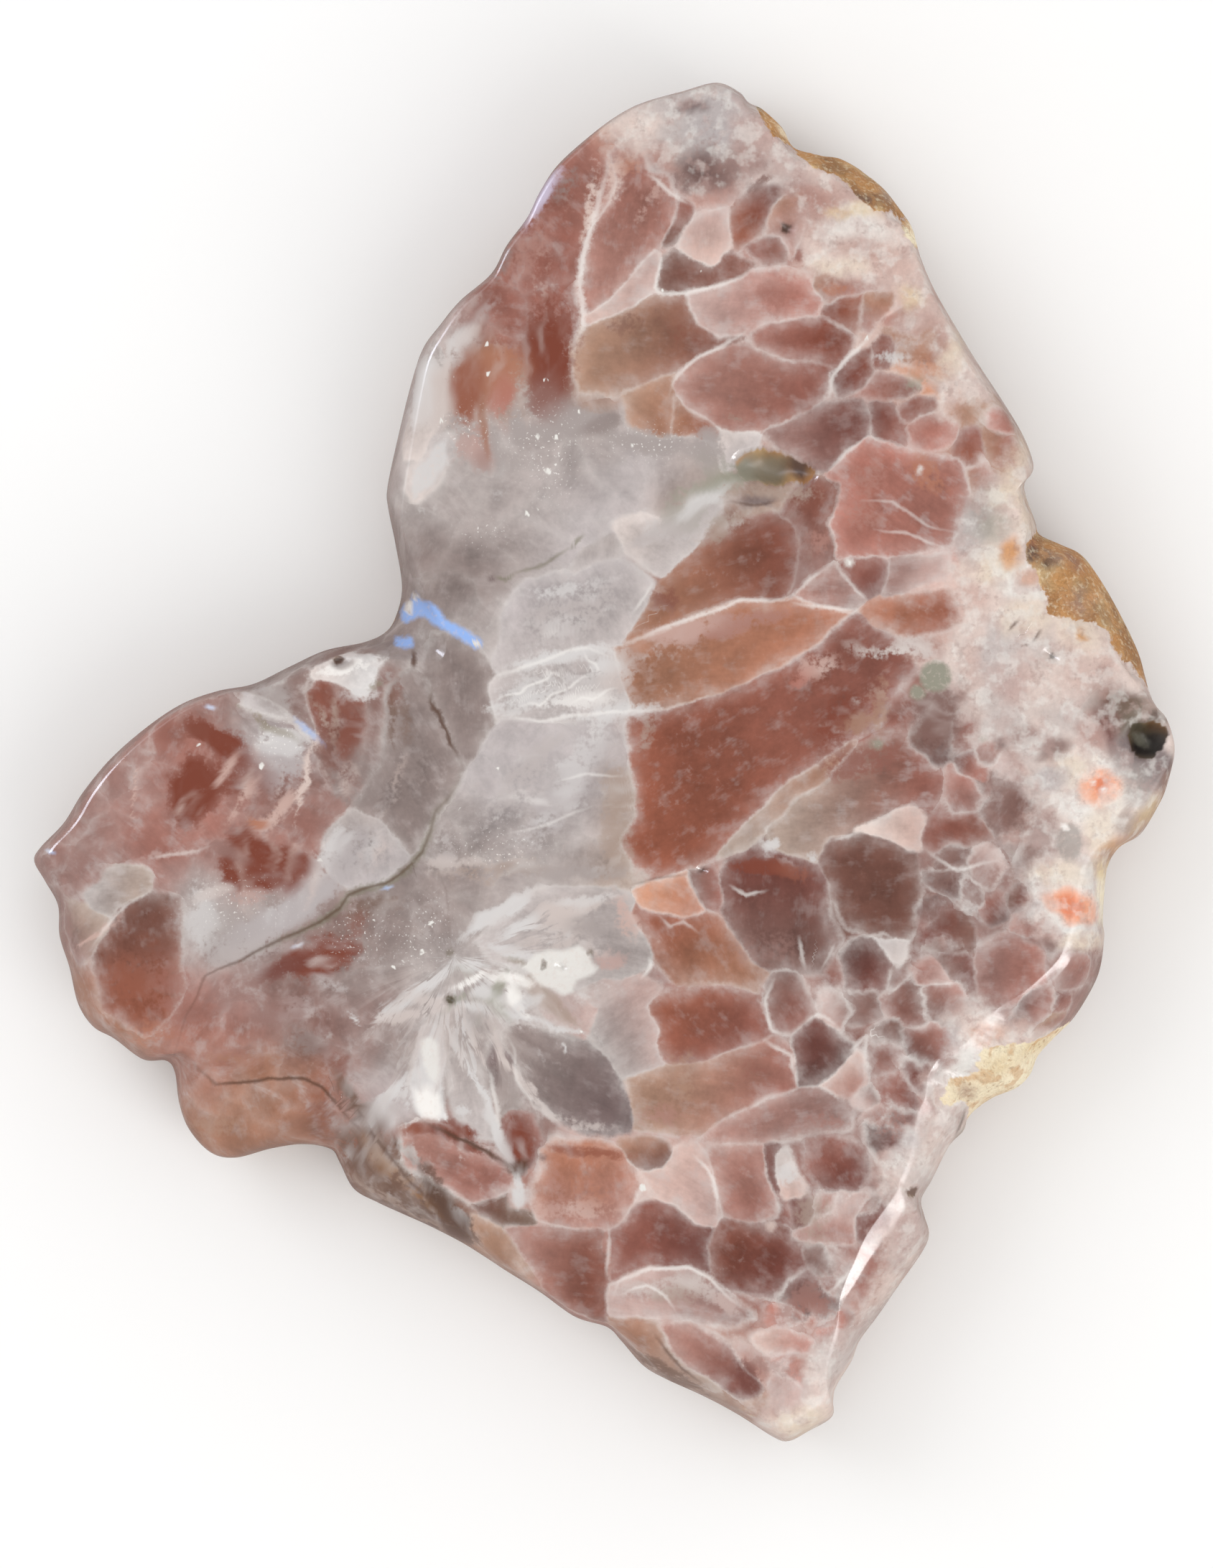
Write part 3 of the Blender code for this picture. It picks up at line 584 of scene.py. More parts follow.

# Soft patches over the crystals: centre, half length, half width, turn, tone and strength. The pale violet
# one at 750, 280 is a painted highlight on the upper left rim, and the smoke ones at 790, 262 and 700, 372
# are a painted sheen beside it.
veils = rowsOf("""
  # upper lobe
  770 480 40 76 0 brick .6; 740 350 20 60 35 blush .5; 652 545 22 42 5 rust .5; 700 520 34 34 0 copper
  .5; 664 440 34 30 -40 mauve .6; 790 262 30 12 -60 smoke .5; 700 372 10 26 30 smoke .5; 985 246 46 28
  0 plum .9; 955 228 16 18 0 plum .7; 990 192 36 22 0 mist .8; 975 156 20 6 -5 slate .8; 952 160 12 7
  0 smoke .7; 924 224 16 14 20 rose .7; 880 450 44 18 -10 walnut .4; 960 470 30 20 20 chestnut .4; 905
  172 26 14 0 frost .6; 876 232 24 18 0 copper .5; 1057 262 26 10 -40 dustyMauve .7; 1110 380 30 16 0
  shell .6; 1165 406 26 9 0 copper .6; 1075 415 26 26 0 rose .5; 1270 540 16 10 0 lichen .5; 1238 503
  26 10 -10 frost .6; 1286 520 36 16 10 apricot .7; 1290 665 34 22 40 copper .55; 1205 665 30 34 20
  blush .5; 1196 720 34 20 0 blush .55; 905 285 10 36 28 shell .4; 750 280 46 13 -57 lavender .8; 822
  300 8 60 8 pearl .55; 852 262 10 34 0 pearl .45; 806 590 50 22 10 haze .9; 745 606 44 16 5 haze .7;
  905 620 60 18 5 haze .8; 838 596 28 11 -15 smoke .6; 690 650 60 18 0 haze .6; 672 628 16 30 0 blush
  .45; 620 560 18 40 5 milky .6; 985 625 20 30 0 haze .8; 1015 668 40 18 -10 lichen .75; 960 705 46 34
  -20 lichen .5; 920 742 70 12 -28 mist .5; 980 702 30 8 -28 frost .6; 1055 703 22 7 5 slate .7; 1090
  690 50 12 -5 taupe .7; 1010 735 60 14 -32 taupe .55; 1110 770 10 60 0 mauve .45; 1142 757 16 14 0
  blush .6; 672 530 44 64 4 fawn .75; 650 545 18 34 0 rust .6; 702 560 16 28 0 salmon .6; 764 505 30
  56 0 brick .8; 758 560 26 26 0 mauve .6; 676 612 6 24 -4 fawn .5; 650 622 22 14 0 petal .6; 690 618
  6 24 -6 haze .6; 722 600 10 30 4 haze .7;
  # middle
  1010 872 90 15 -12 blush .7; 950 878 50 14 -14 shell .6; 890 935 28 30 0 fawn .4; 925 840 26 24 -30
  chestnut .6; 1168 1006 56 34 -40 brick .55; 1180 905 30 22 0 chestnut .5; 1136 930 24 16 0 shell .6;
  1112 948 22 12 -30 salmon .6; 1270 905 40 12 5 milky .7; 1226 912 34 8 0 chalk .4; 866 1130 20 70 0
  taupe .6; 900 1020 14 26 10 taupe .4; 1060 1205 46 14 0 brick .8; 1060 1320 50 24 0 mauve .4; 1110
  1215 30 12 20 rust .4; 1225 985 12 40 0 tan .5; 1200 1010 22 14 0 tan .4; 1196 1062 60 24 -10
  oldRose .6; 1080 1176 12 8 0 frost .7; 1128 1190 12 8 30 frost .6; 1305 1002 36 34 0 dustyMauve .85;
  1300 1240 24 60 0 dustyMauve .5; 1390 1225 26 20 0 mauve .5; 1480 1165 22 26 0 lichen .7;
  # quartz and the pale flower
  715 1325 34 8 15 frost .7; 700 1268 56 12 -34 frost .9; 724 1290 34 9 -34 frost .8; 770 1320 60 40 0
  milky .5; 775 1272 20 10 0 milky .7; 870 1280 16 34 -20 shell .6; 850 1336 26 14 0 petal .7; 790
  1262 44 14 -12 milky .7; 820 1250 40 6 -6 frost .5; 812 1288 30 12 10 haze .7; 690 1385 64 36 25
  frost .5; 650 1366 20 5 -22 snow .7; 676 1386 20 6 14 frost .7; 702 1364 18 5 -8 snow .6; 722 1392 5
  20 -34 snow .6; 664 1404 18 5 30 frost .6; 694 1376 5 18 24 lichen .6; 640 1390 16 5 -45 lichen .6;
  690 1400 24 12 30 lichen .5; 668 1420 14 20 20 haze .6; 655 1345 20 9 0 frost .7; 606 1358 40 9 -42
  frost .7; 560 1394 44 10 -35 frost .7; 560 1414 44 7 -8 milky .7; 605 1395 34 8 10 milky .6; 622
  1412 30 20 0 mist .6; 495 1418 16 4 50 frost .7; 470 1372 22 8 30 mist .5; 598 1480 14 60 4 frost
  .8; 600 1538 17 26 0 snow .9; 548 1520 12 44 38 frost .8; 526 1545 30 22 -20 mist .8; 575 1500 5 40
  10 frost .5; 660 1500 7 52 -28 frost .8; 690 1570 7 50 -22 frost .8; 645 1545 8 6 0 frost .6; 655
  1450 8 40 -10 frost .5; 672 1470 5 30 -20 milky .6; 640 1500 5 40 5 milky .5; 700 1462 5 34 -28
  milky .7; 740 1520 6 50 -38 milky .7; 760 1424 56 5 18 frost .7; 782 1460 9 3 60 frost .7; 800 1560
  60 8 12 milky .5; 722 1650 8 24 0 frost .7; 770 1395 56 12 42 taupe .7; 640 1572 26 10 16 brick .9;
  582 1566 28 9 -10 rust .8; 724 1592 24 36 0 brick .9; 520 1262 50 18 -14 bark .5; 590 1285 18 26 0
  haze .5; 680 1215 70 14 -5 taupe .5; 640 1200 40 8 -5 milky .45; 620 1170 12 40 0 mist .4; 780 1110
  26 100 38 lilac .6; 730 1090 18 90 40 mist .55; 810 1050 20 60 30 frost .4; 850 1150 18 80 0 taupe
  .5; 800 1215 80 12 0 haze .6; 744 1050 12 60 50 mist .4; 830 960 40 26 0 mist .5; 780 955 80 18 -12
  frost .5; 720 982 46 16 -6 frost .5; 812 975 50 10 -4 snow .5; 850 993 66 8 -5 frost .65; 780 915 76
  10 -14 frost .8; 846 925 20 12 0 frost .7; 860 935 14 26 0 milky .5; 930 735 60 22 -25 mist .5; 800
  860 80 26 -20 mist .6; 780 820 50 8 -12 frost .5; 592 555 18 54 10 frost .9; 616 545 12 50 10 milky
  .8; 640 480 14 30 40 frost .6; 585 600 10 40 10 milky .4; 655 470 20 8 -50 milky .4;
  # left lobe
  272 1104 30 52 8 brick 1; 314 1034 58 18 34 brick .95; 328 1088 46 28 20 brick .6; 345 1198 36 48 20
  brick 1; 388 1212 44 32 0 brick .95; 418 1206 26 14 -15 brick .8; 260 1020 34 12 -10 chestnut .4;
  340 1120 30 6 -60 shell .5; 318 1070 22 5 -50 shell .4; 392 1130 34 12 -40 shell .7; 365 1146 10 5 0
  copper .7; 396 1030 28 22 20 frost .8; 395 1060 40 40 20 lilac .7; 370 1004 46 6 30 olive .5; 385
  972 34 18 20 haze .7; 428 1090 5 60 12 pearl .6; 455 975 30 20 20 chestnut .5; 452 1004 5 34 -25
  taupe .5; 466 1000 4 24 -10 taupe .4; 488 1022 15 34 12 chestnut .8; 550 1000 6 44 0 bark .6; 505
  1090 50 44 0 smoke .5; 555 960 10 24 10 chestnut .4; 566 1000 10 40 0 bark .4; 480 930 40 10 -12
  snow .6; 476 922 14 7 0 smoke .6; 520 952 10 7 0 olive .5; 536 945 16 12 0 haze .6; 505 965 20 10 0
  frost .6; 580 1060 20 40 0 smoke .5; 500 1180 46 34 -20 lilac .6; 455 1190 10 34 25 frost .5; 430
  1252 62 20 -35 lilac .85; 380 1290 66 20 -22 lilac .8; 350 1325 60 12 -16 mist .5; 310 1295 40 40 0
  haze .6; 284 1280 18 50 0 frost .6; 300 1245 26 8 -20 milky .6; 350 1250 22 10 0 petal .5; 240 1190
  50 7 -12 petal .5; 310 1180 30 8 20 mauve .5; 192 1105 4 50 4 shell .6; 228 1030 14 26 20 rose .6;
  120 1200 40 10 -30 mauve .5; 130 1308 34 4 -40 shell .6; 205 1300 50 50 0 walnut .45; 185 1365 34 34
  0 rust .6; 115 1380 12 26 -20 fawn .7; 90 1290 12 50 0 mauve .5; 240 1390 30 60 0 rose .5; 444 1332
  58 28 -14 brick 1; 400 1348 30 14 -20 oxblood .6; 500 1290 16 16 0 chestnut .4; 330 1380 60 24 -20
  mauve .5; 400 1410 60 20 -10 mauve .6; 470 1470 40 16 30 chestnut .5; 430 1450 26 16 0 smoke .5; 350
  1470 80 12 0 fawn .4; 200 1440 40 18 0 copper .4; 450 1540 30 50 20 chestnut .4; 300 1570 40 20 0
  tan .5; 500 1535 12 50 -38 bark .8; 505 1600 50 40 60 bark .7; 600 1640 12 110 -40 umber .6; 628
  1700 18 50 -40 umber .8; 575 1690 4 70 -58 taupe .6; 520 1660 4 40 -55 taupe .5; 540 1620 4 40 -40
  taupe .4; 640 1740 6 60 -62 taupe .4; 560 1640 8 60 -45 limonite .4;
  # lower lobe
  646 1588 60 9 26 brick .7; 600 1568 30 9 10 brick .6; 722 1626 14 12 0 umber .8; 820 1602 60 7 6
  rust .75; 800 1684 60 16 5 shell .5; 820 1650 40 24 30 copper .4; 775 1650 14 40 0 blush .4; 845
  1745 5 40 -4 blush .7; 1130 1790 50 14 -30 mauve .4; 1130 1690 30 40 0 taupe .5; 1240 1740 26 40 30
  rose .6; 1105 1985 34 14 20 cream .8; 1060 1980 40 12 30 sand .4; 1130 1930 18 40 10 milky .6; 1080
  1900 50 18 20 mauve .4; 968 1735 20 26 20 oxblood .5; 1038 1914 30 14 50 oxblood .7; 1122 1816 40 26
  -10 rose .6; 930 1912 70 14 30 bark .7; 1098 1632 16 20 0 frost .6; 940 1800 26 14 0 taupe .4; 1010
  1810 20 12 20 petal .5; 920 1785 60 16 -8 milky .6; 985 1800 40 12 30 milky .5; 950 1500 22 36 0 tan
  .5; 1050 1500 26 34 0 oldRose .4; 920 1550 40 20 0 blush .5; 1150 1560 34 14 0 rose .4; 1240 1560 30
  24 0 rose .5;
""")

# Thin seams: half width, strength and path. Those of one list keep apart from each other.
paleSeams = [rowsOf("""
  7 .9 838,208 846,235 838,268 828,300 820,335 810,372 806,402 812,430 812,460 801,482 798,530;
  4 .8 897,246 914,256 930,270 946,282 958,290;
  3 .7 1052,452 1030,468 1002,486 968,504 940,530 930,560;
  4 .9 862,898 900,886 960,862 1030,838 1100,836;
  4 .8 700,1580 692,1540 684,1500 676,1480;
  3 .7 676,954 700,938 752,922 790,908 820,904 862,924;
  3 .8 690,1002 752,1004 830,994 880,990 925,990;
  1.5 .4 1140,1352 1165,1310;
  4 .8 1060,1444 1100,1468 1108,1510;
  4 .7 1120,1352 1110,1300;
  2.5 .6 208,1245 178,1262 150,1292 130,1322;
  2.5 .5 205,1196 250,1190 272,1184 302,1176;
  3 .6 845,1700 848,1745 846,1780;
  3 .6 1190,1160 1160,1170;
  4 .8 1180,1465 1205,1440 1200,1480;
  3 .7 1285,1182 1330,1212 1390,1196;
  3 .9 852,1812 862,1782 905,1762 955,1760 985,1775 1010,1800 1045,1828;
  2 .5 700,1430 716,1460 720,1500 744,1540 775,1560;
  2.5 .6 880,860 900,830 912,806;
  2 .6 1212,740 1260,745 1320,768;
"""), rowsOf("""
  4 .9 912,352 922,360 916,380 912,404 918,412 955,412 1000,402 1046,384;
  4 .9 1152,560 1154,540 1158,522 1182,498 1206,474 1214,462;
  3 .7 1150,660 1180,630 1206,610;
  3 .8 1096,838 1145,847 1186,855 1200,848;
  2 .9 686,978 706,968 722,966 738,954 760,948 774,936 792,932;
  1.8 .8 712,990 738,980 752,982 770,968 796,960 812,946 840,940;
  1.8 .8 790,986 812,974 826,976 846,962 862,958;
  1.6 .7 757,924 766,936 784,944 790,958;
  1.6 .7 812,908 818,922 832,930 836,946;
  3 .8 1076,1356 1064,1392 1074,1432 1100,1442;
  4 .9 902,1330 906,1345 890,1362;
  3 .8 1012,1230 1040,1245 1070,1238;
  3 .6 1240,1305 1228,1298 1200,1304;
  3 .7 1120,1420 1136,1410 1165,1428;
  3 .7 1150,1800 1190,1760;
  2 .5 1190,700 1240,700 1290,735 1330,745;
  2.5 .8 862,1800 900,1786 925,1800 940,1826;
  3 .8 960,1600 985,1625 995,1650 998,1690;
  2 .5 912,1270 930,1290 950,1282 975,1300;
  2 .6 770,1090 820,1078 870,1080;
  2 .5 700,1160 760,1150 830,1120;
""")]
darkSeams = rowsOf("""
  6 1 575,903 577,934;
  4.4 1 596,946 603,964 602,978 612,994 618,1010 628,1036 646,1068;
  2 .7 646,1066 642,1085 623,1112 607,1128 604,1155 591,1187 560,1214 540,1230 510,1238 485,1245
    475,1262 450,1280 410,1300 370,1318 340,1335 320,1345 300,1352 290,1356 278,1385 270,1400 262,1415
    252,1445 243,1480;
  4.4 1 585,1556 604,1566 640,1584 680,1600 706,1618 724,1630;
  3 .9 262,1462 278,1484 304,1508 336,1506 375,1500 425,1499 450,1511 470,1532 492,1560 520,1588;
  1.6 .2 582,1200 612,1212 625,1240 628,1300 625,1325;
  2.6 .7 1345,1540 1340,1562 1328,1588;
  2.2 .4 876,1232 912,1222 968,1212;
  3 .8 1398,884 1406,874 1416,866;
  3 .7 1432,896 1442,884 1448,876;
  2.5 .6 1418,902 1428,898;
  3 .6 480,1508 510,1560 545,1610 590,1660 640,1712;
  2.4 .6 1010,700 1050,706 1085,700;
  2.4 .7 905,1850 930,1880 950,1905 985,1930;
""")
oliveSeams = rowsOf("""
  9 .85 646,1066 640,1090 622,1114 607,1130 604,1156 588,1190 560,1216 540,1231 510,1239 485,1246
    474,1263 450,1281 410,1301 370,1319 340,1336 322,1346;
  5 .9 814,745 805,752 790,768;
  4.5 .9 722,800 706,809 688,806;
  3 .75 800,758 760,786 708,805;
  4 .5 1352,1556 1346,1572 1330,1592 1312,1622;
  4 .6 1545,1200 1565,1186 1592,1166 1606,1140;
  3.5 .4 1536,1352 1524,1378 1500,1418;
""")
# Painted reflections: small blue glints of light on the polish, drawn as seams with half width, strength and
# path.
paintedGlints = rowsOf("""
  4 .8 286,985 304,986; 3.5 .7 64,1182 82,1189; 3 .6 408,1319 428,1310; 3.5 .7 532,1240 552,1233;
""")

# Round spots: centre, half length, half width, turn, tone at the rim, and strength. The blue one at 431, 1018
# and the white ones at 569, 845, 578, 831 and 665, 898 are painted reflections.
# The lichen spot at 1586, 1031 is a painted highlight inside the dark vug.
spots = rowsOf("""
  1300 943 22 22 0 lichen 1; 1275 965 12 11 0 lichen .95; 1219 1037 9 8 0 lichen .8; 1533 1100 5 4 0
  snow .9; 1518 1090 4 4 0 snow .8; 569 845 7 9 20 snow .9; 578 831 4 5 0 snow .9; 665 898 6 4 20 snow
  .8; 431 1018 19 4 42 glint .7; 758 1342 4 6 20 moss .6; 822 1325 4 5 0 moss .6; 722 1337 14 4 15
  olive .6; 686 808 5 5 0 slate .7; 1485 1172 19 27 0 pewter .75; 1479 1151 7 5 0 snow .95; 1586 1031
  14 8 35 lichen .85; 1072 1704 8 8 0 pearl .6; 628 1326 5 6 0 moss .7; 755 1609 5 5 0 slate .7; 1366
  1030 5 5 0 lichen .5; 1224 712 6 3 0 oxblood .5; 1180 785 7 7 0 chalk .8; 1278 657 4 6 30 chalk .8;
""")

# Patches with an edge of their own: tone, strength and outline. The two blue ones by the notch, between 549
# and 672 across and 826 and 905 down, are painted reflections.
facets = rowsOf("""
  chalk .8 722,1341 736,1336 746,1326 763,1321 786,1322 806,1315 821,1325 824,1338 834,1346 824,1357
    804,1364 797,1380 786,1385 768,1375 754,1372 738,1354;
  frost .85 573,672 580,652 597,641 607,622 624,613 623,634 626,648 612,662 603,680 588,688 577,699
    574,686;
  snow .7 700,1352 726,1356 748,1366 740,1376 716,1370 696,1364;
  frost .7 712,1402 730,1384 760,1384 752,1396 738,1402 726,1416;
  snow .85 578,1512 588,1520 596,1512 604,1524 612,1518 617,1540 612,1558 600,1556 586,1544 579,1530;
  chalk .7 586,1448 600,1440 612,1452 614,1490 610,1508 598,1500 590,1476;
  glint 1 574,826 580,826 586,836 600,840 612,848 622,864 640,872 656,882 672,893 672,902 662,905
    652,898 636,888 618,878 602,870 592,860 586,858 574,864 566,868 558,864 556,850 562,840 572,836;
  glint 1 549,886 555,886 562,889 570,885 576,889 577,902 569,904 553,903 549,896;
  frost .8 720,1630 730,1650 734,1672 722,1682 712,1668 718,1650;
""")

# Sparkling patches and single white flecks.
sparkles = rowsOf("""
  752 612 40 34 0; 770 660 24 34 0; 600 1285 22 30 0; 590 1320 30 20 0; 690 1180 50 24 0; 675 745 24
  14 0; 650 600 30 22 0; 330 1260 50 30 0; 395 1030 30 22 0; 500 1300 40 30 0; 900 620 50 20 0;
""")
flecks = rowsOf("""
  680 481 4; 680 525 4; 635 530 3; 760 531 3; 808 575 4; 880 623 5; 733 717 5; 749 712 3; 616 588 4;
  642 1127 3; 693 1072 3; 588 1325 5; 975 385 3; 1206 475 5; 763 657 5; 775 614 5; 748 610 4; 938 608
  3; 368 1068 4; 280 1037 4; 447 1197 4; 1048 254 4; 920 410 3; 895 1651 6; 808 1437 3; 1178 785 4;
  602 1285 4; 565 1338 4; 525 1297 3; 523 1280 3; 550 1347 3; 1533 1103 3;
""")

# Ranges of small crystals: spacing, how pale their borders are, cloudiness, tones and outline. The tone
# "ground" keeps the ground's own tone, a little lighter or darker.
fields = rowsOf("""
  46 .8 .4 mauve dustyMauve oldRose walnut plum rose dustyMauve oxblood petal 1186,1040 1290,1000
    1345,1010 1400,1050 1440,1120 1440,1190 1430,1260 1540,1330 1500,1420 1340,1410 1290,1440
    1290,1550 1240,1600 1210,1640 1240,1690 1190,1760 1120,1830 1080,1800 1110,1720 1120,1600
    1180,1540 1180,1440 1100,1360 1150,1300 1270,1290 1290,1190 1270,1110;
  46 .7 .4 salmon rose fawn blush oldRose 1090,275 1180,395 1260,415 1310,470 1320,560 1410,580
    1412,650 1350,700 1320,790 1180,780 1150,660 1200,500 1130,400 1040,330;
  32 .6 .6 blush mauve oldRose petal 850,200 950,280 1045,262 1100,290 1110,380 960,400 910,350;
  32 .7 .7 blush mauve oldRose salmon petal 1041,1905 1050,1820 1120,1800 1200,1740 1190,1850
    1140,1930 1090,1970 1000,1960 930,1900;
  74 .06 .45 ground 560,560 700,560 880,580 1010,640 1120,690 960,760 880,900 880,1100 860,1230
    700,1270 620,1260 600,1150 680,940 600,830;
  90 .08 .4 ground 600,440 840,160 820,480 800,570 560,600;
  62 .05 .5 ground 40,1180 300,950 560,880 620,1000 640,1250 600,1400 520,1520 240,1500 70,1300;
  80 .12 .4 ground 240,1480 520,1520 700,1760 420,1620 240,1600;
  46 .1 .8 ground 480,1330 760,1360 880,1560 780,1620 600,1560;
""")

# The inner border of the paler rind along the right side.
rindBorder = trail("""
  848,200 862,226 905,240 940,262 975,285 1015,285 1045,262 1085,258 1095,280 1108,320 1112,376
  1150,385 1180,395 1250,412 1262,440 1236,462 1290,470 1312,540 1305,575 1330,598 1338,566 1370,558
  1402,580 1412,640 1400,655 1360,668 1340,700 1328,730 1316,772 1320,806 1318,830 1336,866 1312,896
  1280,916 1330,960 1345,1010 1340,1040 1385,1040 1402,1060 1420,1110 1430,1135 1400,1150 1386,1164
  1436,1190 1404,1230 1426,1245 1420,1268 1448,1290 1470,1312 1506,1320 1560,1326 1700,1340 1700,1430
  1480,1436 1440,1424 1400,1404 1335,1402 1294,1432 1300,1470 1274,1502 1290,1540 1262,1562 1242,1590
  1222,1612 1230,1650 1240,1684 1212,1728 1236,1724 1204,1798 1182,1850 1152,1870 1114,1892 1130,1928
  1092,1958 1062,1942 1040,1980 1000,2100 1800,2100 1800,0 830,0 830,180
""")

# Brown and yellow crusts that come in over the face; each reaches out past the edge.
crustShapes = [shape for shape, in rowsOf("""
  1052,142 1080,140 1130,180 1112,202 1098,206 1085,196 1068,190 1060,178 1056,160;
  1102,206 1120,190 1180,190 1260,240 1290,300 1250,300 1232,290 1215,290 1195,282 1185,268 1165,255
    1150,248 1138,238 1120,222;
  1252,302 1290,300 1310,350 1284,356 1270,350 1262,335 1254,318;
  1418,765 1424,752 1450,730 1500,735 1560,780 1620,900 1650,985 1606,975 1580,930 1558,912 1538,885
    1515,868 1480,864 1456,852 1448,822 1440,800 1424,786;
  1470,1436 1520,1425 1480,1490 1460,1530 1400,1570 1362,1590 1350,1545 1335,1532 1312,1535 1308,1512
    1330,1496 1352,1500 1362,1476 1382,1458 1410,1456 1440,1446;
""")]

# Soft patches of the rind: centre, half length, half width, turn, tone and strength.
rindPatches = rowsOf("""
  985 244 36 24 0 plum .95; 990 190 34 24 0 lilac .9; 950 150 60 26 0 mist .8; 1035 235 30 24 0 mauve
  .7; 1000 268 36 14 0 mauve .7; 930 255 24 18 0 blush .7; 985 205 60 60 0 haze .6; 966 157 18 5 -5
  slate .8; 895 178 22 12 0 pearl .7; 925 220 20 14 0 blush .7; 1040 200 26 40 0 petal .7; 1100 240 36
  16 40 petal .7; 1120 285 34 22 0 blush .7; 1200 325 44 18 0 chalk .7; 1190 298 30 10 0 sand .5; 1160
  375 40 10 5 cream .6; 1250 380 30 20 0 shell .7; 1265 420 20 16 0 sand .4; 1300 470 22 20 30 blush
  .5; 1330 480 12 50 30 cream .7; 1524 1099 20 17 20 coral 1; 1526 1097 8 6 0 ember .8; 1490 1263 24
  15 10 coral 1; 1486 1262 12 8 0 ember 1; 1406 774 11 15 0 amber 1; 1425 806 16 10 0 apricot .6; 1320
  575 18 22 30 pearl .7; 1412 640 16 60 18 cream .8; 1395 600 20 30 -20 tan .6; 1402 692 30 20 0 cream
  .8; 1368 712 26 34 10 pewter .7; 1345 748 20 28 0 mist .8; 1388 745 18 16 0 lichen .4; 1428 720 14
  36 12 cream .7; 1380 790 30 26 0 cream .85; 1412 812 30 26 0 chalk .7; 1340 838 26 26 0 shell .8;
  1425 862 34 24 0 cream .7; 1385 905 30 46 10 mist .7; 1500 882 30 26 30 cream .7; 1506 886 8 5 40
  ochre .6; 1345 925 16 34 0 shell .5; 1405 950 30 24 0 petal .8; 1450 960 30 26 0 pearl .6; 1500 945
  26 34 0 shell .6; 1534 940 16 26 10 blush .6; 1578 935 14 40 -38 pearl .9; 1554 974 34 18 20 bark 1;
  1540 1010 13 30 0 oxblood 1; 1572 1000 24 22 0 moss .9; 1515 1022 15 22 0 blush .8; 1425 1020 20 12
  0 mauve .7; 1462 1036 20 12 -20 dustyMauve .8; 1392 1036 10 12 30 plum .7; 1450 1055 14 7 0
  dustyMauve .6; 1490 1045 10 30 -25 pearl .6; 1568 1046 22 36 0 slate .85; 1600 1075 30 24 0 slate
  .9; 1576 1092 18 22 0 pewter .8; 1616 1100 10 34 10 fawn .7; 1614 1056 16 12 40 slate .9; 1600 1004
  20 9 15 umber .9; 1566 1026 10 12 0 slate .8; 1545 985 30 30 0 bark .7; 1590 1150 16 22 20 tan .7;
  1568 1142 9 14 0 taupe .6; 1600 1128 30 14 -50 sand .8; 1556 1180 30 12 -35 ochre .7; 1545 1195 16 8
  -40 tan .8; 1430 1105 26 26 0 milky .6; 1458 1085 14 12 0 lilac .7; 1482 1070 26 20 0 cream .7; 1520
  1100 56 52 0 chalk .8; 1450 1152 18 28 0 mauve .6; 1440 1186 34 8 10 mauve .6; 1400 1150 22 5 -12
  pearl .7; 1535 1160 22 44 0 cream .8; 1540 1210 16 10 -40 sand .9; 1536 1240 9 36 0 straw .9; 1470
  1220 36 16 0 cream .7; 1484 1262 56 46 10 chalk .85; 1442 1242 14 14 0 chalk .5; 1425 1272 24 9 -30
  frost .6; 1448 1296 20 14 0 petal .8; 1506 1312 22 12 0 cream .7; 1350 1440 40 22 -30 pearl .8; 1372
  1445 18 14 0 apricot .9; 1312 1452 22 20 0 lilac .8; 1350 1478 18 34 30 chalk .8; 1310 1490 24 8 -50
  frost .6; 1322 1530 16 28 10 snow .7; 1300 1582 36 16 -40 pearl .7; 1254 1572 26 22 0 lilac .7; 1200
  260 60 20 30 petal .7; 1150 290 50 40 10 blush .6; 1230 350 40 40 30 shell .7; 1300 430 20 50 30
  shell .6; 1180 350 40 14 20 blush .5; 1270 430 26 40 20 shell .6; 1320 510 20 40 30 cream .6; 1015
  150 36 24 0 lilac .7; 1060 190 34 20 20 petal .7; 940 200 40 22 0 mist .6; 1215 1760 24 60 30 pearl
  .6; 1150 1860 18 50 20 milky .6; 1120 1980 36 24 0 cream .85; 1260 1700 20 40 10 petal .7; 1240 1640
  24 20 0 pearl .5;
""")
# Patches of the crust and fills of the open pits: centre, half length, half width, turn, tone and strength.
# The pits' darkest fills, ink most of all, are partly their own dark tone and partly painted shade in the
# hollows.
crustPatches = rowsOf("""
  1076 175 14 14 0 ochre .8; 1092 186 14 6 40 straw .8; 1056 150 8 8 0 lichen .7; 1125 213 14 7 10
  ochre .8; 1162 236 26 14 30 limonite .9; 1212 264 16 10 30 ochre .8; 1205 280 20 7 20 bark .8; 1236
  268 16 14 40 taupe .7; 1268 330 10 24 20 straw .9; 1434 776 12 14 0 bark .9; 1438 760 8 5 0 rust .8;
  1464 776 14 10 30 taupe .6; 1456 790 10 6 0 umber .8; 1492 776 20 12 35 fawn .8; 1474 812 18 16 40
  ochre .9; 1460 846 12 12 0 limonite .8; 1502 840 24 16 30 tan .8; 1528 804 18 10 50 ochre .9; 1524
  830 14 10 40 amber .7; 1546 862 18 10 50 limonite .7; 1552 896 22 10 50 ochre .8; 1588 915 12 22 -25
  limonite .8; 1602 955 8 20 -15 tan .8; 1385 1482 22 12 -30 sand .5; 1345 1520 16 12 0 tan .7; 1384
  1530 16 6 -20 ochre .4; 1420 1500 24 12 -40 straw .8; 1440 1460 20 8 -30 sand .6;
  # the open pits
  1035 660 34 20 -5 lichen 1; 1075 655 20 24 0 olive 1; 1110 652 20 16 20 umber 1; 1600 1036 40 34 0
  ink 1; 1574 1012 16 14 0 moss 1; 1095 322 20 20 0 umber 1; 780 1345 14 14 0 bark 1; 975 1212 16 12 0
  umber 1; 625 1392 16 16 0 moss 1; 1463 915 14 12 0 ink 1; 1265 1657 20 14 0 bark 1; 477 923 20 14 0
  bark 1;
""")

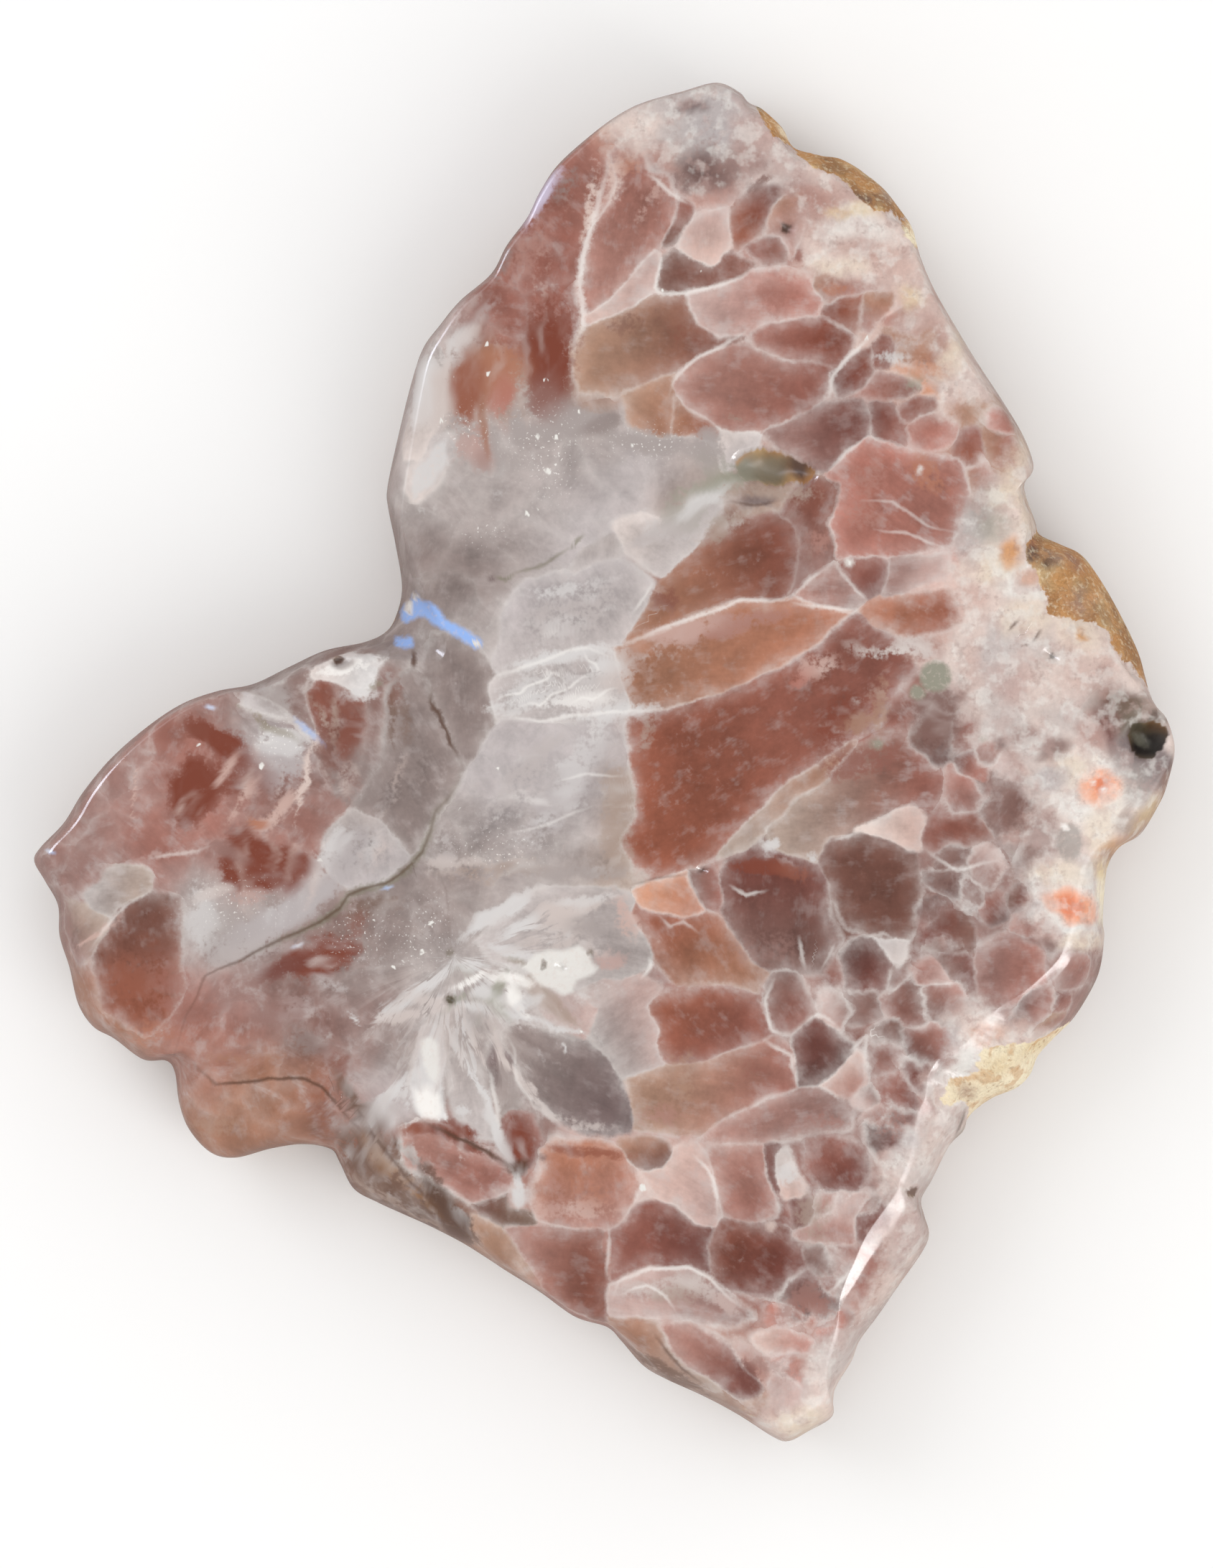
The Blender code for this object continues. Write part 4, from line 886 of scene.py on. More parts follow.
pattern = {
    "borderGap": 6,  # how far outside a crystal its border reaches over the ground, in grid steps
    "familyCount": 5,  # neighbouring crystals come from different families
    "contact": 30,  # crystals that come this near to each other are neighbours
    "reach": 70,
    "farAway": 90.0,  # the distance that stands for no crystal
    "spotReach": 60.0,
    "spotSearch": 90,
    "warp": [(3.0, 42), (1.6, 16)],  # strength and size of the waves in the crystal borders
    "borderWobble": [(2.6, 38, 101), (1.5, 15, 111)],  # the same with a seed, for each family by itself
    "zoneWarp": [(18, 60), (8, 20)],
    "veilWarp": [(5, 34), (3, 14)],
    "seamWarp": [(2.0, 40), (1.2, 14)],
    "fleckWarp": [(3, 9)],
    "rindWarp": [(15, 52), (8, 18)],
    "rindEdge": (-30, 34),  # grid steps inside its border at which the rind starts and is full
    "rindPatchWarp": [(9, 40), (5, 15)],
    "crustWarp": [(7, 26), (4, 10)],
    "crustEdge": (-5, 7),
    "crustPatchWarp": [(6, 20)],
    "skinEdge": (0.0095, 0.0050),  # heights between which the natural skin of the edge comes in, in metres
    "skinWander": (0.0014, 60),  # how far that wanders in metres, and over how many grid steps
    "pitEdge": (0.0001, 0.0010),
    "pitFloor": 0.012,  # pits belong to the face, so nothing below this height counts
    "outside": (62, 0.3, 0.5, "ground", None),  # the small crystals round the edge, as a row of fields
    "outsideBand": (8, 240),  # how far outside the plan they lie, for the pattern that rolls over the edge
    # The small crystals' lattice, in shares of its spacing, and the ranges that each crystal is drawn from.
    "small": {"rows": 0.87, "jitter": 0.36, "clear": 0.3, "apart": 0.55, "radius": (0.22, 0.66),
              "corner": 0.45, "stretch": (0.7, 1.9), "lift": (0.9, 1.1), "line": (0.2, 1.2), "cloudy": 0.25},
    "seamTaper": 0.3,  # share of a seam over which it fades at each end
    "torn": 0.5,  # how far streaks along a frosty patch tear its edge; the others get a third of it
    "streak": (50, 18),  # how long and how wide those streaks are, in grid steps
    "frosty": ("frost", "snow", "milky", "mist", "chalk", "pearl", "lichen"),
    "matte": [(1590, 1130, 60, 50, 0), (1545, 1230, 50, 70, 0), (1400, 1490, 60, 50, -40),
              (1310, 1600, 50, 46, 0), (1150, 1920, 40, 60, 20), (1095, 322, 26, 26, 0),
              (625, 1392, 16, 16, 0), (477, 923, 20, 16, 0), (1594, 1028, 60, 50, 0)],
    "rayCentre": (633, 1331),
    "rayPatches": [(590, 1430, 70, 100, 20), (680, 1470, 90, 46, 60), (745, 1290, 50, 26, -30)],
}


def besidePath(points, path):
    # Distance to a path, positive on one side and negative on the other, and 1 along it, fading at its ends.
    path = np.asarray(path, float)
    legs = np.diff(path, axis=0)
    lengths = np.linalg.norm(legs, axis=1)
    walked = np.r_[0, np.cumsum(lengths)]
    best, side, along = np.full(len(points), 1e3), np.ones(len(points)), np.zeros(len(points))
    for a, leg, length, start in zip(path, legs, lengths, walked):
        share = ((points - a) @ leg) / length**2
        away = points - a - np.clip(share, 0, 1)[:, None] * leg
        distance = np.hypot(away[:, 0], away[:, 1])
        nearer = distance < best
        turn = leg[0] * (points[:, 1] - a[1]) - leg[1] * (points[:, 0] - a[0])
        best = np.where(nearer, distance, best)
        side = np.where(nearer, np.where(turn < 0, -1, 1), side)
        along = np.where(nearer, start + share * length, along)
    taper = np.clip(np.minimum(along, walked[-1] - along) / (pattern["seamTaper"] * walked[-1]), 0, 1)
    return best * side, taper


def seamFields(grid, seams):
    # For each point the nearest seam's signed distance, half width and strength.
    best = np.full(len(grid), 99.0)
    width, strength = np.ones(len(grid)), np.zeros(len(grid))
    for halfWidth, full, path in seams:
        path = np.asarray(path, float)
        low, high = path.min(0) - 40, path.max(0) + 40
        near = np.flatnonzero(((grid > low) & (grid < high)).all(1))
        if not len(near):
            continue
        away, taper = besidePath(grid[near], path)
        nearer = abs(away) < abs(best[near])
        spots = near[nearer]
        best[spots] = away[nearer]
        width[spots] = halfWidth * (0.5 + 0.5 * taper[nearer])
        strength[spots] = (full * taper * fade(abs(away), 30, 14))[nearer]
    return np.stack([best, width, strength], axis=1)


def blobMix(grid, blobs, torn=0.0):
    # Strength 1 - (1 - a)(1 - b)... over the patches, and the mean of their tones weighted by strength over
    # size, so that a small patch shows on a large one. Each patch is a blob with its edge torn by a cloud
    # that is drawn out along it.
    clear, weight, tone = np.ones(len(grid)), np.full(len(grid), 1e-7), np.zeros((len(grid), 3))
    tone += weight[:, None] * linear("blush")
    for k, (x, y, length, width, turn, name, strength) in enumerate(blobs):
        near = np.flatnonzero((abs(grid - (x, y)) < 3 * max(length, width)).all(1))
        spots = grid[near]
        share = blob(spots, (x, y, length, width, turn))
        heading = headingOf(turn if length >= width else turn + 90)
        along, across = spots @ heading, spots @ (-heading[1], heading[0])
        streak = billow(np.c_[along, across] / pattern["streak"], 1, 301 + k, 3)
        raggedness = torn if name in pattern["frosty"] else 0.3 * torn
        share = strength * fade(share + raggedness * streak * (1 - 0.6 * share), 0.1, 0.9)
        clear[near] *= 1 - share
        pull = share / (length * width)
        weight[near] += pull
        tone[near] += pull[:, None] * linear(name)
    return tone / weight[:, None], 1 - clear


def groundTone(grid):
    # Mean of the zone tones, weighted by exp(-(distance / reach)^2).
    weight, tone = np.full(len(grid), 1e-9), np.zeros((len(grid), 3))
    for x, y, reach, name in zones:
        share = np.exp(-(((grid - (x, y)) ** 2).sum(1)) / reach**2) + 1e-7
        weight += share
        tone += share[:, None] * linear(name)
    return tone / weight[:, None]


def crystalSeeds():
    # Random crystals: places on a jittered lattice inside each field, clear of the drawn ones.
    rng = np.random.default_rng(11)
    small = pattern["small"]
    seeds = []
    for spacing, line, cloudy, *names, border in fields + [pattern["outside"]]:
        low, high = ((-250, -200), (1950, 2350)) if border is None else (np.min(border, 0), np.max(border, 0))
        across = np.arange(low[0], high[0], spacing)
        down = np.arange(low[1], high[1], spacing * small["rows"])
        spots = np.array([(x + spacing / 2 * (row % 2), y) for row, y in enumerate(down) for x in across])
        spots += rng.uniform(-small["jitter"], small["jitter"], spots.shape) * spacing
        if border is None:
            away = signedDistance(spots, outline[:, :2])
            nearest, farthest = pattern["outsideBand"]
            spots = spots[(away > nearest) & (away < farthest)]
        else:
            spots = spots[insideLoop(spots, np.array(border, float))]
            for *_, shape in crystals:
                spots = spots[signedDistance(spots, shape) > spacing * small["clear"]]
            for other in seeds:
                if len(spots):
                    spots = spots[np.hypot(*(spots - other["middle"]).T) > spacing * small["apart"]]
        for spot in spots:
            seeds.append({
                "middle": spot, "radius": spacing * rng.uniform(*small["radius"]),
                "turn": rng.uniform(0, 360),
                "sides": np.arange(6) * np.pi / 3 + rng.uniform(-small["corner"], small["corner"], 6),
                "reach": rng.uniform(*small["stretch"], 6),
                "names": None if names == ["ground"] else (rng.choice(names), rng.choice(names)),
                "lift": rng.uniform(*small["lift"], 2), "line": line * rng.uniform(*small["line"]),
                "cloudy": np.clip(cloudy + rng.uniform(-small["cloudy"], small["cloudy"]), 0, 1),
            })
    return seeds


def crystalFields(grid, ground):
    # Every crystal's signed distance near it, then families in which no two neighbours meet. For each family
    # a point gets its nearest crystal's tone, border strength, distance, grain angle and cloudiness.
    reach = pattern["reach"]
    cells = []
    for tone, farTone, turn, line, cloudy, shape in crystals:
        shape = np.array(shape, float)
        near = np.flatnonzero(((grid > shape.min(0) - reach) & (grid < shape.max(0) + reach)).all(1))
        spots = grid[near]
        away = signedDistance(spots, shape)
        heading = headingOf(turn)
        span = shape @ heading
        share = fade(spots @ heading, span.min(), span.max())
        color = linear(tone) + (linear(farTone) - linear(tone)) * share[:, None]
        cells.append((near, away, color, line, turn, cloudy))
    for seed in crystalSeeds():
        near = np.flatnonzero((abs(grid - seed["middle"]) < reach + seed["radius"]).all(1))
        if not len(near):
            continue
        spots = grid[near] - seed["middle"]
        heading = headingOf(seed["turn"])
        share = np.clip(0.5 + spots @ heading / (2 * seed["radius"]), 0, 1)[:, None]
        if seed["names"]:
            ends = [linear(name) for name in seed["names"]]
            color = ends[0] + (ends[1] - ends[0]) * share
        else:
            color = ground[near] * (seed["lift"][0] + (seed["lift"][1] - seed["lift"][0]) * share)
        sides = np.stack([np.cos(seed["sides"]), np.sin(seed["sides"])])
        away = np.max(spots @ sides / seed["reach"], axis=1) - seed["radius"]
        cells.append((near, away, color, seed["line"], seed["turn"], seed["cloudy"]))

    first, second = np.full(len(grid), 1e3), np.full(len(grid), 1e3)
    owner, rival = np.full(len(grid), -1), np.full(len(grid), -1)
    for k, (near, away, *_) in enumerate(cells):
        wins = away < first[near]
        spots = near[wins]
        second[spots], rival[spots] = first[spots], owner[spots]
        first[spots], owner[spots] = away[wins], k
        close = ~wins & (away < second[near])
        second[near[close]], rival[near[close]] = away[close], k
    meets = (rival >= 0) & (second - first < pattern["contact"])
    pairs, counts = np.unique(np.sort(np.stack([owner[meets], rival[meets]], axis=1), axis=1), axis=0,
                              return_counts=True)
    contact = {k: {} for k in range(len(cells))}
    for (a, b), count in zip(pairs, counts):
        contact[a][b] = contact[b][a] = count
    family = {}
    for k in sorted(contact, key=lambda k: -len(contact[k])):
        cost = [sum(count for other, count in contact[k].items() if family.get(other) == choice)
                for choice in range(pattern["familyCount"])]
        family[k] = int(np.argmin(cost))

    tone = np.zeros((pattern["familyCount"], len(grid), 4))
    tone[:, :, :3] = ground
    form = np.zeros((pattern["familyCount"], len(grid), 3))
    form[:, :, 0] = pattern["farAway"]
    for k, (near, away, color, line, turn, cloudy) in enumerate(cells):
        nearer = away < form[family[k], near, 0]
        spots = near[nearer]
        tone[family[k], spots] = np.c_[color[nearer], np.full(len(spots), line)]
        form[family[k], spots] = np.c_[away[nearer], np.full(len(spots), np.radians(turn)),
                                       np.full(len(spots), cloudy)]
    print("crystals with the small ones:", len(cells))
    return tone, form


def spotFields(grid):
    # The nearest spot's tone and strength, and the distance outside its rim.
    away = np.full(len(grid), pattern["spotReach"])
    tone = np.zeros((len(grid), 4))
    for name, strength, shape in facets:
        distance = signedDistance(grid, shape)
        nearer = distance < away
        away[nearer] = distance[nearer]
        tone[nearer] = [*linear(name), strength]
    for x, y, length, width, turn, name, strength in spots:
        near = np.flatnonzero((abs(grid - (x, y)) < pattern["spotSearch"]).all(1))
        distance = np.hypot(*ellipseAxes(grid[near], x, y, length, width, turn)) - 1
        distance *= min(length, width)
        nearer = (distance < away[near]) | (distance < 0)
        chosen = near[nearer]
        away[chosen] = distance[nearer]
        tone[chosen] = [*linear(name), strength]
    return tone, away


own = toGrid(points[:, :2])
flat = toGrid(places)
waved = warped(flat, pattern["warp"], 3)
zoneSpot = warped(own, pattern["zoneWarp"], 21)
ground = groundTone(zoneSpot)
cellTone, cellForm = crystalFields(waved, ground)
for k in range(pattern["familyCount"]):
    cellForm[k, :, 0] += sum(strength * cloud(flat, size, seed + k)
                             for strength, size, seed in pattern["borderWobble"])
veilTone, veilShare = blobMix(warped(own, pattern["veilWarp"], 25), veils, pattern["torn"])
spotTone, spotAway = spotFields(own)
rind = fade(-signedDistance(warped(own, pattern["rindWarp"], 41), rindBorder), *pattern["rindEdge"])
crustSpot = warped(own, pattern["crustWarp"], 43)
crust = -np.min([signedDistance(crustSpot, shape) for shape in crustShapes], axis=0)
crust = fade(crust, *pattern["crustEdge"])
sparkle = 0.8 * np.clip(sum(blob(own, patch) for patch in sparkles), 0, 1)
ray = np.clip(sum(blob(own, patch) for patch in pattern["rayPatches"]), 0, 1)
matte = np.clip(sum(blob(own, patch) for patch in pattern["matte"]), 0, 1)
fleckSpot = warped(own, pattern["fleckWarp"], 29)
fleck = np.max([blob(fleckSpot, (x, y, size, size, 0)) for x, y, size in flecks], axis=0)
level = points[:, 2]
skinWander, skinSize = pattern["skinWander"]
skin = fade(level + skinWander * billow(flat, skinSize, 95, 2), *pattern["skinEdge"])
pit = fade(faceDip(own), *pattern["pitEdge"]) * (level > pattern["pitFloor"])
print("pattern fields done")


def rindTones():
    # The rind's slow changes of tone, with its patches over them.
    tone = blend(linear("pearl"), linear("milky"), fade(billow(flat, 90, 131, 3), -0.3, 0.3))
    tone = blend(tone, linear("haze"), 0.3 * fade(billow(flat, 52, 132, 3), 0.1, 0.5))
    pink = fade(rind, 1.0, 0.5) * fade(billow(flat, 44, 133, 3), -0.4, 0.4)
    tone = blend(tone, linear("blush"), 0.7 * pink)
    return blend(tone, *blobMix(warped(own, pattern["rindPatchWarp"], 71), rindPatches, 0.5))


def crustTones():
    # Brown crust in the upper half and straw-yellow crust below, with the patches and the pits' tones.
    tone = blend(linear("limonite"), linear("ochre"), fade(billow(flat, 34, 141, 2), -0.3, 0.4))
    tone = blend(tone, linear("sand"), 0.5 * fade(billow(flat, 24, 142, 2), -0.1, 0.4))
    tone = blend(tone, linear("straw"), 0.8 * fade(own[:, 1], 1250, 1400))
    return blend(tone, *blobMix(warped(own, pattern["crustPatchWarp"], 75), crustPatches, 0.6))


def addField(mesh, name, kind, values):
    # A value for each point of the mesh.
    field = mesh.attributes.new(name, kind, "POINT")
    slot = "color" if kind == "FLOAT_COLOR" else "vector"
    field.data.foreach_set(slot, np.ascontiguousarray(values, np.float32).ravel())


def makeSlab():
    mesh = bpy.data.meshes.new("amethyst_slice_stone")
    mesh.from_pydata(points.tolist(), [], quads.tolist() + triangles.tolist())
    corners = np.vstack([quads[:, :3], triangles])
    under = (corners >= underStart).any(axis=1)
    mesh.polygons.foreach_set("material_index", under.astype(np.int32))
    mesh.polygons.foreach_set("use_smooth", np.ones(len(corners), bool))
    seamSpot = warped(own, pattern["seamWarp"], 61)
    colors = {"veil": np.c_[veilTone, veilShare], "spot": spotTone, "rind": np.c_[rindTones(), rind],
              "crust": np.c_[crustTones(), crust]}
    vectors = {
        "place": np.c_[flat, level / gridStep],
        "ground": ground,
        "shade": np.stack([  # brightness, how pale the borders are, and how wide
            1 + 0.12 * billow(flat, 90, 91, 2) + 0.10 * billow(flat, 30, 92, 2),
            fade(billow(flat, 32, 93, 2), -0.6, 0.3),
            1.4 + 1.5 * billow(flat, 46, 94, 2)], axis=1),
        "marks": np.stack([sparkle, fleck, pit], axis=1),
        "rims": np.stack([spotAway, skin, ray], axis=1),
        "matte": np.repeat(matte[:, None], 3, axis=1),
    }
    for name, seams in (("paleSeam0", paleSeams[0]), ("paleSeam1", paleSeams[1]), ("darkSeam", darkSeams),
                        ("oliveSeam", oliveSeams), ("glint", paintedGlints)):
        vectors[name] = seamFields(seamSpot, seams)
    for k in range(pattern["familyCount"]):
        colors[f"tone{k}"], vectors[f"form{k}"] = cellTone[k], cellForm[k]
    for name, values in colors.items():
        addField(mesh, name, "FLOAT_COLOR", values)
    for name, values in vectors.items():
        addField(mesh, name, "FLOAT_VECTOR", values)
    mesh.update()
    return mesh


def addNode(tree, kind, inputs=(), **settings):
    # One shader node: its settings, then its inputs as plain values or as another node's output.
    node = tree.nodes.new("ShaderNode" + kind)
    for name, value in settings.items():
        setattr(node, name, value)
    for key, value in dict(inputs).items():
        if isinstance(value, bpy.types.NodeSocket):
            tree.links.new(value, node.inputs[key])
        else:
            node.inputs[key].default_value = value
    return node


def calc(tree, operation, *values, clamp=False):
    return addNode(tree, "Math", enumerate(values), operation=operation, use_clamp=clamp).outputs[0]


def scaled(tree, value, factor, shift=0.0):
    # value * factor + shift
    return calc(tree, "MULTIPLY_ADD", value, factor, shift)


def ease(tree, value, start, end):
    # 0 at start to 1 at end, smooth at both.
    node = addNode(tree, "MapRange", {"Value": value, "From Min": start, "From Max": end},
                   interpolation_type="SMOOTHSTEP")
    return node.outputs["Result"]


def mixTone(tree, share, under, over):
    # A tone is another node's colour, a plain value or a name from the list of tones.
    under, over = ((*linear(tone), 1) if isinstance(tone, str) else tone for tone in (under, over))
    return addNode(tree, "Mix", {0: share, 6: under, 7: over}, data_type="RGBA", clamp_factor=True).outputs[2]


def mixValue(tree, share, under, over):
    return addNode(tree, "Mix", {0: share, 2: under, 3: over}, data_type="FLOAT").outputs[0]


def split(tree, vector):
    return addNode(tree, "SeparateXYZ", {0: vector}).outputs


def toneOf(tree, name):
    # A field of the mesh that carries a colour and a strength.
    return addNode(tree, "Attribute", attribute_name=name).outputs


def fieldOf(tree, name):
    return addNode(tree, "Attribute", attribute_name=name).outputs["Vector"]


def newGroup(name, inputs, outputs):
    # A node group with its sockets: (name, kind) in and out.
    group = bpy.data.node_groups.new(name, "ShaderNodeTree")
    for label, kind in inputs:
        group.interface.new_socket(label, in_out="INPUT", socket_type="NodeSocket" + kind)
    for label, kind in outputs:
        group.interface.new_socket(label, in_out="OUTPUT", socket_type="NodeSocket" + kind)
    return group, group.nodes.new("NodeGroupInput").outputs, group.nodes.new("NodeGroupOutput").inputs


def useGroup(tree, group, inputs=()):
    return addNode(tree, "Group", inputs, node_tree=group).outputs


def noiseOf(tree, place, scale, detail, **values):
    return addNode(tree, "TexNoise", {"Vector": place, "Scale": scale, "Detail": detail, **values},
                   noise_dimensions="2D").outputs


def laid(tree, tone, *layers):
    # Tones over one another, each where its mask passes from start to end: (mask, start, end, share, tone).
    for mask, start, end, share, over in layers:
        tone = mixTone(tree, scaled(tree, ease(tree, mask, start, end), share), tone, over)
    return tone


def seamLine(tree, groups, name, ragged):
    return useGroup(tree, groups["seam"], {"Seam": fieldOf(tree, name), "Ragged": ragged})[0]


def grainGroup():
    # The fine unevenness that the other groups share: three fine grains, three middling ones and small cells.
    names = ["Fine A", "Fine B", "Fine C", "Middle A", "Middle B", "Middle C", "Cells"]
    group, given, result = newGroup("grain", [("Place", "Vector")], [(name, "Float") for name in names])
    parts = []
    for size, detail, roughness in ((8, 2.0, 0.6), (28, 3.0, 0.55)):
        noise = noiseOf(group, given["Place"], 1 / size, detail, Roughness=roughness)
        parts += list(addNode(group, "SeparateColor", {0: noise["Color"]}).outputs)
    cells = addNode(group, "TexVoronoi", {"Vector": given["Place"], "Scale": 1 / 7}, voronoi_dimensions="2D")
    for name, part in zip(names, [*parts, cells.outputs["Distance"]]):
        group.links.new(part, result[name])
    return group


def raysGroup():
    # Wisps that run out from one point: noises over the angle about it (straight down is 0) and the distance
    # from it. Lace is the finer one, as it comes.
    group, given, result = newGroup("rays", [("Place", "Vector")], [("Wisps", "Float"), ("Lace", "Float")])
    away = addNode(group, "VectorMath", {0: given["Place"], 1: (*pattern["rayCentre"], 0)},
                   operation="SUBTRACT").outputs[0]
    part = split(group, away)
    angle = calc(group, "ARCTAN2", part[0], part[1])
    distance = calc(group, "SQRT", calc(group, "MULTIPLY_ADD", part[0], part[0],
                                        calc(group, "MULTIPLY", part[1], part[1])))
    polar = addNode(group, "CombineXYZ", {0: scaled(group, angle, 4.5), 1: scaled(group, distance, 1 / 120)})
    noise = noiseOf(group, polar.outputs[0], 1.0, 4.0, Roughness=0.6, Distortion=0.7)[0]
    wisps = calc(group, "MULTIPLY", ease(group, noise, 0.46, 0.64), ease(group, distance, 20.0, 60.0))
    group.links.new(wisps, result["Wisps"])
    fine = noiseOf(group, polar.outputs[0], 2.2, 4.0, Roughness=0.7, Distortion=1.2)[0]
    group.links.new(fine, result["Lace"])
    return group


def nearerCrystalGroup():
    # Takes the nearest crystal so far and one more: the nearer of the two comes out, with the runner-up's
    # distance and border.
    names = [("Tone", "Color"), ("Line", "Float"), ("Turn", "Float"), ("Cloud", "Float")]
    state = [("Distance", "Float"), ("Runner", "Float"), ("Runner line", "Float"), *names]
    following = [("Next " + name.lower(), kind) for name, kind in [("Distance", "Float"), *names]]
    group, given, result = newGroup("nearer crystal", state + following, state)
    nearer = calc(group, "LESS_THAN", given["Next distance"], given["Distance"])
    close = calc(group, "LESS_THAN", given["Next distance"], given["Runner"])
    link = group.links.new
    link(calc(group, "MINIMUM", given["Distance"], given["Next distance"]), result["Distance"])
    beaten = calc(group, "MAXIMUM", given["Distance"], given["Next distance"])
    link(calc(group, "MINIMUM", given["Runner"], beaten), result["Runner"])
    runnerLine = mixValue(group, close, given["Runner line"], given["Next line"])
    link(mixValue(group, nearer, runnerLine, given["Line"]), result["Runner line"])
    soft = ease(group, calc(group, "SUBTRACT", given["Distance"], given["Next distance"]), -4.0, 4.0)
    link(mixTone(group, soft, given["Tone"], given["Next tone"]), result["Tone"])
    for name in ("Line", "Turn", "Cloud"):
        link(mixValue(group, nearer, given[name], given["Next " + name.lower()]), result[name])
    return group


def crystalGroup(nearerCrystal):
    # The crystals' tone and borders, from the distances that the mesh carries.
    group, given, result = newGroup("crystals", [
        ("Shade", "Vector"), ("Fine A", "Float"), ("Fine B", "Float"), ("Fine C", "Float")], [
        ("Tone", "Color"), ("Border", "Float"), ("Halo", "Float"), ("Depth", "Float"), ("Turn", "Float"),
        ("Cloud", "Float")])
    fine = [scaled(group, given[name], 5.0, -2.5) for name in ("Fine A", "Fine B", "Fine C")]
    state = {"Distance": float(pattern["borderGap"]), "Runner": pattern["farAway"], "Runner line": 0.0,
             "Tone": fieldOf(group, "ground"), "Line": 0.0, "Turn": 0.8, "Cloud": 0.8}
    for k in range(pattern["familyCount"]):
        tone = toneOf(group, f"tone{k}")
        form = split(group, fieldOf(group, f"form{k}"))
        wobble = calc(group, "ADD" if k < 3 else "SUBTRACT", form[0], fine[k % 3])
        state.update({"Next distance": wobble, "Next tone": tone["Color"], "Next line": tone["Alpha"],
                      "Next turn": form[1], "Next cloud": form[2]})
        outputs = useGroup(group, nearerCrystal, state)
        state = {name: outputs[name] for name in
                 ("Distance", "Runner", "Runner line", "Tone", "Line", "Turn", "Cloud")}
    gap = scaled(group, calc(group, "SUBTRACT", state["Runner"], state["Distance"]), 0.5)
    line = calc(group, "MAXIMUM", state["Line"], state["Runner line"])
    shade = split(group, given["Shade"])
    border = ease(group, gap, calc(group, "ADD", shade[2], 2.6), scaled(group, shade[2], 0.1))
    strength = calc(group, "MULTIPLY", line, scaled(group, shade[1], 0.75, 0.25))
    border = calc(group, "MULTIPLY", border, strength)
    link = group.links.new
    link(border, result["Border"])
    halo = calc(group, "POWER", ease(group, gap, 20.0, -3.0), 1.7)
    link(calc(group, "MULTIPLY", halo, scaled(group, line, 0.75, 0.25)), result["Halo"])
    link(ease(group, gap, 3.0, 26.0), result["Depth"])
    for name in ("Tone", "Turn", "Cloud"):
        link(state[name], result[name])
    return group


def seamGroup():
    # A thin line where the signed distance crosses zero, with soft sides.
    group, given, result = newGroup("seam", [("Seam", "Vector"), ("Ragged", "Float")], [("Line", "Float")])
    seam = split(group, given["Seam"])
    width = calc(group, "MULTIPLY", seam[1], scaled(group, given["Ragged"], 2.4, -0.4))
    line = ease(group, calc(group, "ABSOLUTE", seam[0]), calc(group, "ADD", width, 2.4),
                scaled(group, width, 0.1, -0.4))
    group.links.new(calc(group, "MULTIPLY", line, seam[2], clamp=True), result["Line"])
    return group


def cloudedGroup():
    # Soft mottling, faint fibres along each crystal, and pale haze that gathers near the borders.
    group, given, result = newGroup("clouded", [
        ("Place", "Vector"), ("Tone", "Color"), ("Turn", "Float"), ("Cloud", "Float"), ("Halo", "Float"),
        ("Shade", "Float"), ("Fine", "Float"), ("Middle", "Float"), ("Other", "Float")], [("Tone", "Color")])
    turned = addNode(group, "VectorRotate", {"Vector": given["Place"],
                                             "Angle": scaled(group, given["Turn"], -1.0)},
                     rotation_type="Z_AXIS").outputs[0]
    along = addNode(group, "VectorMath", {0: turned, 1: (0.28, 1, 1)}, operation="MULTIPLY").outputs[0]
    fibre = noiseOf(group, along, 1 / 15, 3.0, Roughness=0.65)[0]
    fibres = scaled(group, fibre, 1.0, -0.5)
    factor = calc(group, "MULTIPLY", fibres, scaled(group, given["Cloud"], 0.25, 0.12))
    factor = calc(group, "ADD", factor, scaled(group, given["Middle"], 0.36, -0.18))
    factor = calc(group, "ADD", factor, scaled(group, given["Fine"], 0.2, -0.1))
    factor = calc(group, "ADD", factor, given["Shade"])
    tone = addNode(group, "VectorMath", {0: given["Tone"], "Scale": factor}, operation="SCALE").outputs[0]
    haze = calc(group, "ADD", scaled(group, given["Other"], 0.65), scaled(group, fibre, 0.35))
    haze = calc(group, "ADD", haze, scaled(group, given["Halo"], 0.13))
    share = calc(group, "MULTIPLY", ease(group, haze, 0.5, 0.72), scaled(group, given["Cloud"], 0.3, 0.15))
    group.links.new(mixTone(group, share, tone, "mist"), result["Tone"])
    return group


# How the stone is coloured: where each effect starts and ends, and how strong it is.
finish = {
    "refraction": 1.54,  # quartz
    "shadeOfDepth": (-0.2, 0.07),  # a crystal darkens away from its border by the first, from the second
    "haloPale": 0.42,  # share of white in the haze along a border
    "borderPale": 0.6,
    "borderShare": 0.75,
    "seamPale": 0.72,
    "seamShare": 0.85,
    "lace": (2.4, -1.2),  # contrast of the lace that breaks up a frosty patch, and its shift
    "rayLace": (2.0, -0.5),
    "frostEdge": (0.2, 0.78),
    "rayShare": 0.4,
    "sandGrain": (0.67, 0.78),
    "fleckEdge": (0.45, 0.75),
    "rindEdge": (0.12, 0.88),
    "pitEdge": (0.1, 0.6),
    "spotEdge": (4.0, -5.0),
    "spotRagged": (5.0, -2.5),
    "crustEdge": (0.3, 0.6),
    "skinEdge": (0.35, 0.65),
    "crackShare": 0.85,
    "crackDepth": 0.08,
    "bump": 0.00035,  # metres
    "roughness": {"stone": 0.13, "frost": 0.1, "rind": 0.24, "matte": 0.55, "pit": 0.5, "crust": 0.75,
                  "skin": 0.6, "sawn": 0.55},
    "sawnPale": 0.45,
}


